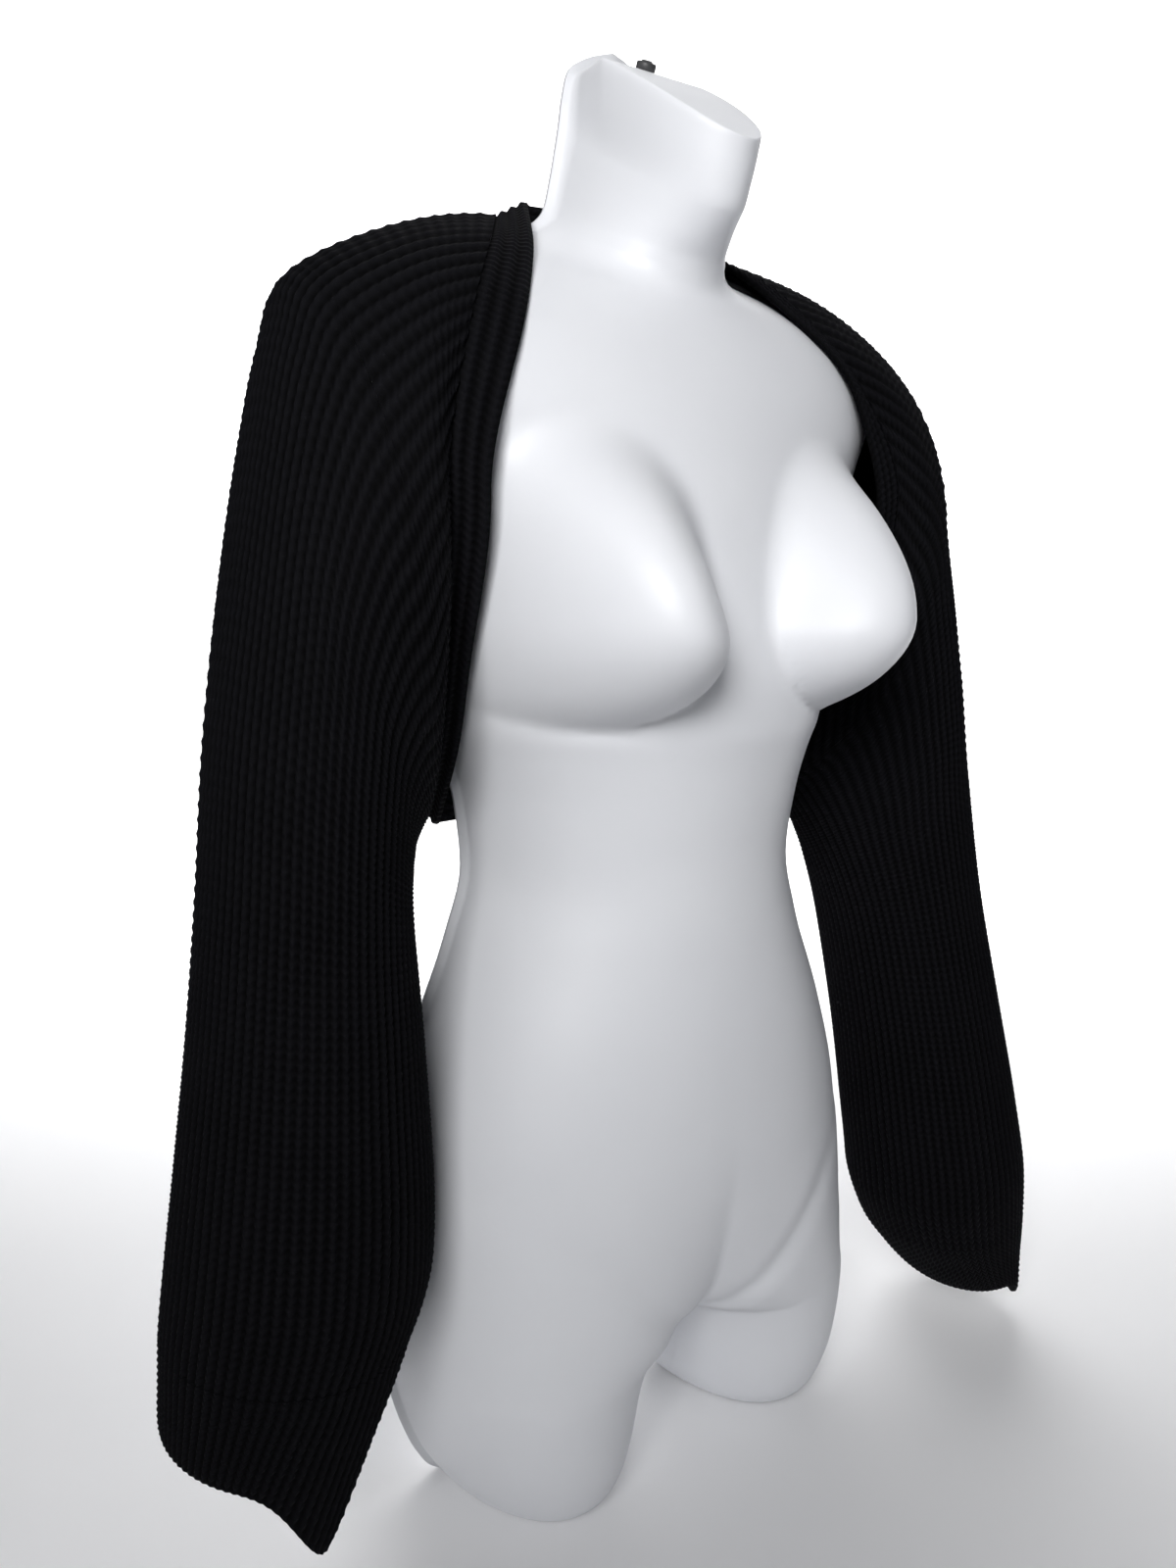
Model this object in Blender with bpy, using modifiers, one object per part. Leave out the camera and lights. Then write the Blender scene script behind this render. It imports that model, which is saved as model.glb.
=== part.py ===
"""Knitted shrug worn by a half-round dress form.

The shrug is a wide ribbed bolero: a back panel, two short fronts, two long sleeves with cuffs and one
border band round the whole opening. Every cloth piece is a thin wall with its ribs raised on the outside
and a plain inside. The dress form is a moulded half torso, hollow at the back, that stands on its two
closed thigh ends.

Units are metres and +Z is up. The form faces -Y, and the wearer's right is -X. In the tables "out" is the
distance from the middle plane towards the arm, "forward" is towards the chest, and "up" is the height
above the floor.
"""

import bmesh
import bpy
import numpy as np
from mathutils.bvhtree import BVHTree

# Placing: the middle of the whole object's box stands over the origin.
SHIFT_X = 0.0
SHIFT_Y = 0.06751

# Points closer than this are one point, and shapes narrower than this have closed up.
MERGE = 0.000001

# Dress form sizes
FORM_WALL = 0.0025
FLANGE_WIDTH = 0.0040
FLANGE_FOOT = (0.6, 0.0, -0.8)
RIM = 0.0030
CROTCH_UP = 0.092
FORM_COLUMNS = 12
CHEST_FULLNESS = 0.92
NECK_FULLNESS = 0.60
NECK_BASE_UP = 0.750
PLUG_RADIUS = 0.0055
PLUG_HEIGHT = 0.0050
PLUG_FORWARD = 0.0320
PLUG_GAP = 0.0009

FORM_TABLE = {
    "up":     (0.000, 0.002, 0.008, 0.022, 0.048, 0.075, 0.092, 0.100, 0.112, 0.130, 0.155, 0.190,
               0.235, 0.290, 0.345, 0.390, 0.430, 0.456, 0.474, 0.492, 0.514, 0.538, 0.564, 0.592,
               0.625, 0.655, 0.680, 0.704, 0.722, 0.734, 0.742, 0.756, 0.776, 0.800, 0.820, 0.832,
               0.840, 0.846),
    "width":  (0.112, 0.127, 0.137, 0.146, 0.156, 0.163, 0.166, 0.167, 0.168, 0.169, 0.169, 0.167,
               0.159, 0.141, 0.118, 0.105, 0.109, 0.117, 0.125, 0.131, 0.136, 0.141, 0.148, 0.159,
               0.176, 0.191, 0.195, 0.184, 0.147, 0.101, 0.064, 0.045, 0.039, 0.034, 0.030, 0.026,
               0.015, 0.000),
    "inner":  (0.056, 0.043, 0.034, 0.026, 0.019, 0.011, 0.000, -0.016, -0.036, -0.060, -0.088, -0.120,
               -0.150, -0.141, -0.118, -0.105, -0.109, -0.117, -0.125, -0.131, -0.136, -0.141, -0.148,
               -0.159, -0.176, -0.191, -0.195, -0.184, -0.147, -0.101, -0.064, -0.045, -0.039, -0.034,
               -0.030, -0.026, -0.015, 0.000),
    "depth":  (0.066, 0.082, 0.093, 0.103, 0.110, 0.112, 0.113, 0.114, 0.116, 0.118, 0.120, 0.123,
               0.126, 0.124, 0.118, 0.116, 0.121, 0.126, 0.130, 0.130, 0.127, 0.122, 0.118, 0.115,
               0.109, 0.104, 0.099, 0.092, 0.086, 0.080, 0.077, 0.080, 0.090, 0.103, 0.113, 0.116,
               0.116, 0.116),
    "slope":  (0.0, 0.0, 0.0, 0.0, 0.0, 0.0, 0.0, 0.0, 0.0, 0.0, 0.0, 0.0,
               0.0, 0.0, 0.0, 0.0, 0.0, 0.0, 0.0, 0.0, 0.0, 0.0, 0.0, 0.0,
               0.04, 0.12, 0.22, 0.32, 0.40, 0.42, 0.42, 0.44, 0.50, 0.57, 0.62, 0.62,
               0.62, 0.62),
}
BELLY_SPREAD = 1.10
BELLY_DEPTH = 0.108
BELLY_RISE = 0.032
BELLY_BLEND = 14.0
BELLY_TOP = 0.290
BUST_OUT = 0.086
BUST_UP = 0.534
BUST_HEIGHT = 0.078
BUST_HALF_WIDTH = 0.070
BUST_RISE = 0.112
BUST_FALL = 0.056
BUST_SOFTNESS = 2.0
BUST_ROUNDNESS = 0.95
CREASE_DEPTH = 0.0055
CREASE_WIDTH = 0.0140
CREASE_RISE = 0.150
CAP_UP = 0.846
CAP_FROM = 0.806
CAP_TO = 0.832
CAP_REACH = 0.040
CAP_SPREAD = 0.36
CAP_DOME = 0.006

# Knit sizes
INNER_WALL = 0.0016
RIB_HEIGHT = 0.0014
SEAM = 0.00060
FORM_GAP = 0.0018
SLEEVE_RIBS = 44
BAND_WALES = 3
BODY_STEPS = 4

# Border band: the free edge and the seam where the panels join it, from the neck (0) to the hem (180).
EDGE_TABLE = {
    "turn":         (0.0, 30.0, 60.0, 90.0, 120.0, 150.0, 180.0),
    "edge out":     (0.053, 0.086, 0.119, 0.139, 0.139, 0.128, 0.116),
    "edge forward": (-0.006, 0.048, 0.084, 0.090, 0.073, 0.036, -0.010),
    "edge up":      (0.761, 0.717, 0.664, 0.596, 0.530, 0.468, 0.414),
    "seam out":     (0.074, 0.109, 0.141, 0.160, 0.160, 0.149, 0.132),
    "seam forward": (-0.005, 0.043, 0.075, 0.086, 0.074, 0.041, -0.007),
    "seam up":      (0.750, 0.722, 0.674, 0.605, 0.543, 0.484, 0.430),
}
BACK_TOP_FORWARD = -0.0080
BACK_TOP_UP = 0.741
BACK_HEM_FORWARD = -0.024
BACK_HEM_UP = 0.436
BACK_BULGE = 0.016
MIDDLE_BULGE = 0.0064
SHOULDER_PROUD = 0.008
FRONT_PROUD = 0.006
BAND_WIDTH = 0.023
# Steps over the skin, in its places and degrees: from the band's seam to its edge, and for directions.
BAND_PLACE = 0.25
NORMAL_PLACE = 0.04
NORMAL_TURN = 1.5

# Sleeve rings from the armhole to the cuff's end; the cuff starts at the row named by CUFF_ROW.
RING_TABLE = {
    "top out":        (0.193, 0.208, 0.222, 0.239, 0.255, 0.265, 0.276, 0.287, 0.296, 0.302, 0.304, 0.306),
    "top forward":    (-0.006, -0.001, 0.006, 0.014, 0.020, 0.024, 0.030, 0.034, 0.037, 0.038, 0.039, 0.040),
    "top up":         (0.707, 0.676, 0.624, 0.552, 0.470, 0.394, 0.325, 0.262, 0.212, 0.173, 0.148, 0.125),
    "under out":      (0.146, 0.150, 0.154, 0.158, 0.161, 0.163, 0.163, 0.163, 0.166, 0.180, 0.202, 0.226),
    "under forward":  (0.000, 0.004, 0.008, 0.012, 0.016, 0.022, 0.030, 0.036, 0.040, 0.041, 0.041, 0.041),
    "under up":       (0.416, 0.412, 0.407, 0.400, 0.390, 0.365, 0.312, 0.252, 0.202, 0.161, 0.132, 0.106),
    "centre forward": (0.033, 0.032, 0.030, 0.028, 0.026, 0.028, 0.034, 0.040, 0.043, 0.043, 0.042, 0.041),
    "half depth":     (0.062, 0.062, 0.062, 0.062, 0.060, 0.059, 0.060, 0.062, 0.063, 0.059, 0.054, 0.050),
    "belly":          (0.012, 0.014, 0.016, 0.011, 0.004, 0.001, 0.000, 0.000, 0.000, 0.000, 0.000, 0.000),
}
CUFF_ROW = 9
# How each side differs from the tables: the sleeve's drop, lean and narrowing are reached gradually
# below the armhole, the shoulder's width fades down it, and the upper front lies further inward.
HANG = {
    "right": {"drop": 0.000, "lean": 0.000, "narrow": 0.000, "shoulder": -0.002,
              "inward": 0.000, "droop": 0.046, "droop turn": 122.0},
    "left": {"drop": 0.073, "lean": 0.041, "narrow": 0.018, "shoulder": 0.021,
             "inward": 0.018, "droop": 0.030, "droop turn": 45.0},
}
HANG_ROWS = (1, 8)
SHOULDER_ROWS = 3
DROOP_NARROWNESS = 6

KNIT_COLOUR = (0.012, 0.012, 0.013, 1.0)
FORM_COLOUR = (0.80, 0.81, 0.84, 1.0)
PLUG_COLOUR = (0.05, 0.05, 0.05, 1.0)
KNIT_ROUGHNESS = 0.95
FORM_ROUGHNESS = 0.42
PLUG_ROUGHNESS = 0.50
SIDES = {"right": -1.0, "left": 1.0}


def smooth_column(places, values, at):
    """Values between table rows, by cubic pieces whose slopes never overshoot the table."""
    places = np.asarray(places, float)
    values = np.asarray(values, float)
    at = np.asarray(at, float)
    step = np.diff(places)
    rise = np.diff(values) / step
    slope = np.empty_like(values)
    slope[0], slope[-1] = rise[0], rise[-1]
    same_way = rise[:-1] * rise[1:] > 0
    near = 2 * step[1:] + step[:-1]
    far = step[1:] + 2 * step[:-1]
    safe = np.where(same_way, rise[:-1] * rise[1:], 1.0)
    mean = (near + far) * safe / np.where(same_way, near * rise[1:] + far * rise[:-1], 1.0)
    slope[1:-1] = np.where(same_way, mean, 0.0)
    row = np.clip(np.searchsorted(places, at, side="right") - 1, 0, len(places) - 2)
    part = (at - places[row]) / step[row]
    return (
        (2 * part**3 - 3 * part**2 + 1) * values[row]
        + (part**3 - 2 * part**2 + part) * step[row] * slope[row]
        + (3 * part**2 - 2 * part**3) * values[row + 1]
        + (part**3 - part**2) * step[row] * slope[row + 1]
    )


def through(before, start, end, after, part):
    """The Catmull-Rom curve from start to end, with the points before and after giving its slopes."""
    return 0.5 * (
        2 * start
        + (end - before) * part
        + (2 * before - 5 * start + 4 * end - after) * part**2
        + (3 * start - before - 3 * end + after) * part**3
    )


# Dress form


def bust_depth(out, up):
    """The soft rounding of the chest, long above and short and full below."""
    rise = up - BUST_UP
    reach = np.where(rise > 0, BUST_RISE, BUST_FALL)
    away = ((out - BUST_OUT) / BUST_HALF_WIDTH) ** 2 + (rise / reach) ** 2
    lower = 0.5 - 0.5 * np.tanh(rise / BUST_FALL * 2)
    shape = BUST_SOFTNESS + (BUST_ROUNDNESS - BUST_SOFTNESS) * lower
    return BUST_HEIGHT * np.clip(1 - away, 0, 1) ** shape


def belly_depth(out, up):
    """The lower belly, a rounded wedge that closes down to the crotch."""
    height = np.maximum(up - CROTCH_UP, 0.0)
    half_width = BELLY_SPREAD * height + MERGE
    depth = BELLY_DEPTH * (1 - np.exp(-height / BELLY_RISE))
    return depth * np.sqrt(np.clip(1 - (out / half_width) ** 2, 0, 1))


def leg_crease(out, up):
    """The shallow furrow from the crotch up to the hip, fading as it rises."""
    height = np.maximum(up - CROTCH_UP, 0.0)
    away = (np.abs(out) - BELLY_SPREAD * height) / CREASE_WIDTH
    fade = np.clip(1 - height / CREASE_RISE, 0, 1) * np.clip(height / CREASE_WIDTH, 0, 1)
    return CREASE_DEPTH * np.exp(-(away**2)) * fade


def cap_share(up, deep):
    """How far a point belongs to the neck cap: none below it and at the rim, all on its front part."""
    part = np.clip((up - CAP_FROM) / (CAP_TO - CAP_FROM), 0, 1)
    return part * np.clip(deep / CAP_REACH, 0, 1)


def cap_height(up, deep, depth):
    """Rows near the top drawn together in front, where the neck cap is slightly domed and its edge crisp."""
    share = cap_share(up, deep)
    along = np.clip(deep / depth, 0, 1)
    return up + share * (CAP_UP - up + 4 * CAP_DOME * along * (1 - along))


def form_half():
    """Rows of points of one half of the form, from the middle plane or the inner thigh to the outer rim."""
    up = np.array(FORM_TABLE["up"])[:, None]
    width, inner, depth, slope = (
        np.array(FORM_TABLE[name])[:, None] for name in ("width", "inner", "depth", "slope")
    )
    half = np.maximum((width - inner) / 2, MERGE)
    centre = (width + inner) / 2
    start = np.arccos(np.clip(centre / half, -1, 1))
    turn = start + (np.pi - start) * np.linspace(0, 1, FORM_COLUMNS)[None]
    round_part = np.clip(np.sin(turn), 0, 1)
    fullness = np.where(up > NECK_BASE_UP, NECK_FULLNESS, CHEST_FULLNESS)
    out = centre - half * np.cos(turn)
    arch = depth * round_part**fullness
    fade = np.clip((BELLY_TOP - up) / (BELLY_TOP - CROTCH_UP), 0, 1)
    belly = belly_depth(out, up) * (1 - (1 - fade) ** 2)
    deep = (arch**BELLY_BLEND + belly**BELLY_BLEND) ** (1 / BELLY_BLEND)
    deep = deep + bust_depth(out, up) * round_part**0.5 - leg_crease(out, up) * round_part
    deep = RIM + deep * (1 - RIM / depth)
    out = out * (1 + CAP_SPREAD * cap_share(up, deep))
    return np.stack([out, -deep, cap_height(up, deep, depth) - slope * deep], -1)


def flange_line(rim):
    """The rim's line moved out square to itself, in the flat of the form's back."""
    along = np.gradient(rim, axis=0)
    square = np.stack([along[:, 2], np.zeros(len(rim)), -along[:, 0]], -1)
    square[-1] = (0.0, 0.0, 1.0)
    square[0] = FLANGE_FOOT
    square /= np.linalg.norm(square, axis=-1, keepdims=True)
    lip = rim + square * FLANGE_WIDTH
    lip[:, 2] = np.maximum(lip[:, 2], 0.0)
    return lip


def form_front():
    """Points of one half with its flange, and the triangles over them."""
    half = form_half()
    lip = flange_line(half[:, -1])
    front = np.concatenate([half, lip[:, None]], 1)
    quads = grid_faces(*front.shape[:2])
    faces = np.concatenate([quads[:, [0, 1, 3]], quads[:, [1, 2, 3]]])
    return front, faces


def form_tree():
    """A search tree of the form's front face and its flange's edge, with all faces pointing out."""
    front, faces = form_front()
    rows, columns = front.shape[:2]
    edge = front[:, -1] + np.array([0.0, FORM_WALL, 0.0])
    count = rows * columns
    low = np.arange(rows - 1)
    lip = low * columns + columns - 1
    behind = low + count
    sides = np.concatenate(
        [np.stack([lip, behind, behind + 1], -1), np.stack([lip, behind + 1, lip + columns], -1)]
    )
    points = np.concatenate([front.reshape(-1, 3), edge])
    faces = np.concatenate([faces, sides])
    points = np.concatenate([points, points * np.array([-1.0, 1.0, 1.0])])
    faces = np.concatenate([faces, faces[:, ::-1] + len(points) // 2])
    return BVHTree.FromPolygons(points.tolist(), faces.tolist())


def clear_of_form(base, tree):
    """Cloth points that lie on or in the form's front moved out to rest just clear of it."""
    flat = base.reshape(-1, 3).copy()
    for number in np.flatnonzero(flat[:, 1] < FORM_GAP):
        place, normal, _, _ = tree.find_nearest(flat[number].tolist())
        short = FORM_GAP - (flat[number] - np.array(place)) @ np.array(normal)
        if short > 0:
            flat[number] += np.array(normal) * short
    return flat.reshape(base.shape)


def grid_faces(rows, columns, first=0):
    """Quads of a grid of points numbered row by row."""
    corner = (np.arange(rows - 1)[:, None] * columns + np.arange(columns - 1)[None]).ravel() + first
    return np.stack([corner, corner + 1, corner + columns + 1, corner + columns], -1)


def add_material(obj, name, colour, roughness):
    material = bpy.data.materials.new(name)
    material.use_nodes = True
    shader = material.node_tree.nodes["Principled BSDF"]
    shader.inputs["Base Color"].default_value = colour
    shader.inputs["Roughness"].default_value = roughness
    obj.data.materials.append(material)


def add_object(collection, name, points, faces, colour, roughness):
    """One named object from arrays of points and faces, moved so that the part stands over the origin."""
    mesh = bpy.data.meshes.new(name)
    placed = np.asarray(points) + np.array([SHIFT_X, SHIFT_Y, 0.0])
    mesh.from_pydata(placed.tolist(), [], [list(face) for face in faces])
    obj = bpy.data.objects.new(name, mesh)
    collection.objects.link(obj)
    add_material(obj, name + "_material", colour, roughness)
    return obj


def clean(obj, merge, closed=True):
    """Merges doubled points, drops empty faces and turns a closed object's faces outwards."""
    shape = bmesh.new()
    shape.from_mesh(obj.data)
    bmesh.ops.remove_doubles(shape, verts=shape.verts, dist=merge)
    bmesh.ops.dissolve_degenerate(shape, edges=shape.edges, dist=merge)
    if closed:
        bmesh.ops.recalc_face_normals(shape, faces=shape.faces)
    shape.to_mesh(obj.data)
    shape.free()


def build_form(collection):
    """Half of the front surface with its flange and thigh end, mirrored, then given its wall inwards."""
    front, faces = form_front()
    rows, columns = front.shape[:2]
    sole_scale = np.linspace(1, 0, 4)[:, None]
    sole = np.repeat(front[:1, :-1], 4, 0)
    sole[..., 1] = -RIM + (sole[..., 1] + RIM) * sole_scale
    quads = grid_faces(4, columns - 1, rows * columns)[:, ::-1]
    points = [front.reshape(-1, 3), sole.reshape(-1, 3)]
    faces = [faces, quads[:, [0, 1, 3]], quads[:, [1, 2, 3]]]
    obj = add_object(
        collection, "dress_form", np.concatenate(points), np.concatenate(faces), FORM_COLOUR, FORM_ROUGHNESS
    )
    clean(obj, 1e-5, False)
    mirror = obj.modifiers.new("Mirror", "MIRROR")
    mirror.merge_threshold = 0.0001
    mirror.mirror_object = add_middle(collection)
    wall = obj.modifiers.new("Wall", "SOLIDIFY")
    wall.thickness = FORM_WALL
    wall.offset = -1.0
    obj.data.shade_smooth()
    return obj


def add_middle(collection):
    """The middle plane that the form is mirrored in."""
    middle = bpy.data.objects.new("middle_plane", None)
    middle.location = (SHIFT_X, SHIFT_Y, 0.0)
    collection.objects.link(middle)
    return middle


# Shrug surface


def edge_point(kind, turn, inward=0.0):
    """A point of the band's free edge or seam, by its turn from the neck to the hem, with the upper front
    moved inward."""
    table = EDGE_TABLE
    out, forward, up = (
        smooth_column(table["turn"], table[f"{kind} {way}"], turn) for way in ("out", "forward", "up")
    )
    out = out - inward * np.sin(np.radians(2 * np.minimum(turn, 90))) ** 2
    return np.stack(np.broadcast_arrays(out, forward, up), -1)


def ring_values(row, side):
    """The ring table read at a whole or part row, moved as this side's sleeve hangs."""
    rows = len(RING_TABLE["top up"])
    row = np.clip(row, 0, rows - 1)
    value = {name: smooth_column(range(rows), column, row) for name, column in RING_TABLE.items()}
    part = np.clip((row - HANG_ROWS[0]) / (HANG_ROWS[1] - HANG_ROWS[0]), 0, 1)
    part = part**2 * (3 - 2 * part)
    hang = HANG[side]
    for name in ("top up", "under up"):
        value[name] = value[name] - hang["drop"] * part
    for name in ("top forward", "under forward", "centre forward"):
        value[name] = value[name] + hang["lean"] * part
    value["under out"] = value["under out"] + hang["narrow"] * part
    value["top out"] = value["top out"] + hang["shoulder"] * np.clip(1 - row / SHOULDER_ROWS, 0, 1) ** 2
    value["droop"] = hang["droop"] * np.clip(row - CUFF_ROW, 0, None) / (rows - 1 - CUFF_ROW)
    return value


def ring_point(row, turn, side):
    """A ring through its top, front, under and back points; turn runs that way round in degrees."""
    value = ring_values(row, side)
    angle = np.radians(turn)

    def place(out, forward, up):
        return np.stack(np.broadcast_arrays(out, forward, up), -1)

    top = place(value["top out"], value["top forward"], value["top up"])
    under = place(value["under out"], value["under forward"], value["under up"])
    middle = (top + under) / 2
    middle[..., 0] += value["belly"]
    front, back = middle.copy(), middle.copy()
    front[..., 1] = value["centre forward"] + value["half depth"]
    back[..., 1] = value["centre forward"] - value["half depth"]
    centre = (top + front + under + back) / 4
    cosine, sine, twice = (np.asarray(f)[..., None] for f in (np.cos(angle), np.sin(angle), np.cos(2 * angle)))
    point = (
        centre
        + (top - under) / 2 * cosine
        + (front - back) / 2 * sine
        + (top + under - front - back) / 4 * twice
    )
    lowest = np.clip(np.cos(angle - np.radians(HANG[side]["droop turn"])), 0, 1)
    point[..., 2] -= value["droop"] * lowest**DROOP_NARROWNESS
    return point


def back_line(turn):
    """The line down the back below the neck's side, from the band seam at the neck to the one at the hem."""
    down = (360.0 - np.asarray(turn, float))[..., None] / 180.0
    line = edge_point("seam", 0.0) * (1 - down) + edge_point("seam", 180.0) * down
    line[..., 1:2] -= BACK_BULGE * 4 * down * (1 - down)
    return line


def middle_line(turn):
    """The middle of the back, from the neck band to the hem band."""
    down = (360.0 - np.asarray(turn, float)) / 180.0
    up = BACK_TOP_UP + (BACK_HEM_UP - BACK_TOP_UP) * down
    forward = BACK_TOP_FORWARD + (BACK_HEM_FORWARD - BACK_TOP_FORWARD) * down
    forward = forward - MIDDLE_BULGE * 4 * down * (1 - down)
    return np.stack(np.broadcast_arrays(0.0 * up, forward, up), -1)


def halfway(inner, outer, turn):
    """The line halfway over the shoulder, a little proud of the straight one."""
    angle = np.radians(turn)
    middle = (inner + outer) / 2
    middle[..., 1] += FRONT_PROUD * np.sin(angle)
    middle[..., 2] += SHOULDER_PROUD * np.clip(np.cos(angle), 0, 1)
    return middle


def skin(place, turn, side, part):
    """A point of the shrug's inner face.

    place runs from -1 at the middle of the back, or -BAND_PLACE at the band's free edge in front, through 0
    at the band seam and 2 at the armhole to the cuff's end; turn runs from the shoulder top over the front
    to the underarm at 180 and up the back to 360. part is "front", "back" or "sleeve".
    """
    place, turn = np.broadcast_arrays(np.asarray(place, float), np.asarray(turn, float))
    if part == "sleeve":
        in_front = (turn % 360 <= 180)[..., None]
        return np.where(in_front, skin(place, turn % 360, side, "front"), skin(place, turn % 360, side, "back"))
    armhole = ring_point(0.0, turn, side)
    next_ring = ring_point(1.0, turn, side)
    flip = np.array([-1.0, 1.0, 1.0])
    if part == "front":
        inner = edge_point("seam", np.clip(turn, 0, 180), HANG[side]["inward"])
        free = edge_point("edge", np.clip(turn, 0, 180), HANG[side]["inward"])
        at_end = np.cos(np.radians(turn))[..., None] ** 2
        ends = np.where((turn < 90)[..., None], middle_line(360.0), middle_line(180.0))
        before = at_end * ends + (1 - at_end) * free
        start = inner + (free - inner) * (-place[..., None] / BAND_PLACE)
    else:
        inner = back_line(turn)
        before = middle_line(turn)
        mirrored = inner * flip
        start = through(mirrored, before, inner, halfway(inner, armhole, turn), place[..., None] + 1)
    halfway_line = halfway(inner, armhole, turn)
    reach = np.linalg.norm(halfway_line - inner, axis=-1, keepdims=True)
    away = np.linalg.norm(before - inner, axis=-1, keepdims=True) + MERGE
    near = inner + (before - inner) * np.minimum(1.0, reach / away)
    first = through(near, inner, halfway_line, armhole, place[..., None])
    second = through(inner, halfway_line, armhole, next_ring, place[..., None] - 1)
    sleeve = ring_point(np.clip(place - 2, 0, None), turn, side)
    point = np.where((place < 0)[..., None], start, first)
    point = np.where((place >= 1)[..., None], second, point)
    point = np.where((place >= 2)[..., None], sleeve, point)
    return point


def to_world(point, side):
    return point * np.array([SIDES[side], -1.0, 1.0])


def skin_normals(place, turn, side, part):
    """Outward directions of the skin, from points a little before and after each one."""
    place, turn = np.broadcast_arrays(np.asarray(place, float), np.asarray(turn, float))
    low_turn, high_turn = turn - NORMAL_TURN, turn + NORMAL_TURN
    first, last = {"front": (0, 180), "back": (180, 360), "sleeve": (-360, 720)}[part]
    before, after = np.maximum(low_turn, first), np.minimum(high_turn, last)
    across = skin(place, after, side, part) - skin(place, before, side, part)
    if part != "sleeve":
        whole = skin(place, high_turn, side, "sleeve") - skin(place, low_turn, side, "sleeve")
        across = np.where((place >= 2)[..., None], whole, across)
    along = skin(place + NORMAL_PLACE, turn, side, part) - skin(place - NORMAL_PLACE, turn, side, part)
    normal = np.cross(along, across)
    normal /= np.linalg.norm(normal, axis=-1, keepdims=True)
    return normal


def wall_mesh(base, normal, rise, closed):
    """Points and faces of a cloth wall.

    base holds rows along the ribs and columns across them, two columns a rib; the outer face stands off by
    rise, and the plain inner face uses every second column.
    """
    rows, columns = base.shape[:2]
    outer = (base + normal * rise).reshape(-1, 3)
    inner = base[:, ::2].reshape(-1, 3)
    inner_columns = base[:, ::2].shape[1]
    shift = len(outer)
    faces = []
    row = np.arange(rows - 1)[:, None]

    def quads(count, width, first, wrap, reverse):
        column = np.arange(count)[None]
        following = (column + 1) % width if wrap else column + 1
        one = row * width + column + first
        two = row * width + following + first
        quad = np.stack([one, two, two + width, one + width], -1).reshape(-1, 4)
        return quad[:, ::-1] if reverse else quad

    faces += quads(columns if closed else columns - 1, columns, 0, closed, False).tolist()
    faces += quads(inner_columns if closed else inner_columns - 1, inner_columns, shift, closed, True).tolist()
    for end in (0, rows - 1):
        for step in range(inner_columns if closed else inner_columns - 1):
            inner_one = shift + end * inner_columns + step
            inner_two = shift + end * inner_columns + (step + 1) % inner_columns
            outer_one = end * columns + 2 * step
            outer_mid = outer_one + 1
            outer_two = end * columns + (2 * step + 2) % columns
            around = [[inner_one, inner_two, outer_two, outer_mid], [inner_one, outer_mid, outer_one]]
            faces += around if end == 0 else [face[::-1] for face in around]
    if not closed:
        for outer_side, inner_side in ((0, 0), (columns - 1, inner_columns - 1)):
            for step in range(rows - 1):
                one = step * columns + outer_side
                two = shift + step * inner_columns + inner_side
                face = [one, one + columns, two + inner_columns, two]
                faces.append(face if outer_side == 0 else face[::-1])
    return np.concatenate([outer, inner]), faces


def rib_rise(columns):
    """Stand-off of the outer face: every second column is a rib's crest."""
    rise = np.full(columns, INNER_WALL)
    rise[1::2] += RIB_HEIGHT
    return rise[None, :, None]


def pull_in(base, axis, first, last, gap=SEAM / 2):
    """Moves the ends of a grid back from its seams, along the cloth, by half of the seam gap."""
    base = np.moveaxis(base, axis, 0).copy()
    ends = []
    if first:
        ends.append((0, 1))
    if last:
        ends.append((-1, -2))
    for end, near in ends:
        way = base[near] - base[end]
        base[end] += way / np.linalg.norm(way, axis=-1, keepdims=True) * gap
    return np.moveaxis(base, 0, axis)


def add_cloth(collection, name, base, normal, rise, closed):
    points, faces = wall_mesh(base, normal, rise, closed)
    obj = add_object(collection, name, points, faces, KNIT_COLOUR, KNIT_ROUGHNESS)
    clean(obj, MERGE)
    obj.data.shade_smooth()
    return obj


def build_front(collection, side, tree):
    place = np.linspace(0, 2, BODY_STEPS + 1)[:, None]
    turn = np.linspace(0, 180, SLEEVE_RIBS + 1)[None]
    base = clear_of_form(to_world(skin(place, turn, side, "front"), side), tree)
    normal = to_world(skin_normals(place, turn, side, "front"), side)
    base = pull_in(pull_in(base, 0, True, True), 1, True, True)
    add_cloth(collection, f"{side}_front", base, normal, rib_rise(turn.shape[1]), False)


def build_back(collection, tree):
    half_place = np.linspace(-1, 2, 7)
    turn = np.linspace(360, 180, SLEEVE_RIBS + 1)[None]
    halves, normals = [], []
    for side in ("right", "left"):
        place = half_place[:, None]
        halves.append(clear_of_form(to_world(skin(place, turn, side, "back"), side), tree))
        normals.append(to_world(skin_normals(place, turn, side, "back"), side))
    base = np.concatenate([halves[0][::-1], halves[1][1:]])
    normal = np.concatenate([normals[0][::-1], normals[1][1:]])
    base = pull_in(pull_in(base, 0, True, True), 1, True, True)
    add_cloth(collection, "back", base, normal, rib_rise(turn.shape[1]), False)


def build_tube(collection, name, side, first_row, last_row, steps, tree):
    place = 2 + np.linspace(first_row, last_row, steps + 1)[:, None]
    turn = np.linspace(0, 360, 2 * SLEEVE_RIBS, endpoint=False)[None]
    base = clear_of_form(to_world(skin(place, turn, side, "sleeve"), side), tree)
    normal = to_world(skin_normals(place, turn, side, "sleeve"), side)
    base = pull_in(base, 0, True, first_row == 0)
    add_cloth(collection, name, base, normal, rib_rise(turn.shape[1]), True)


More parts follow.
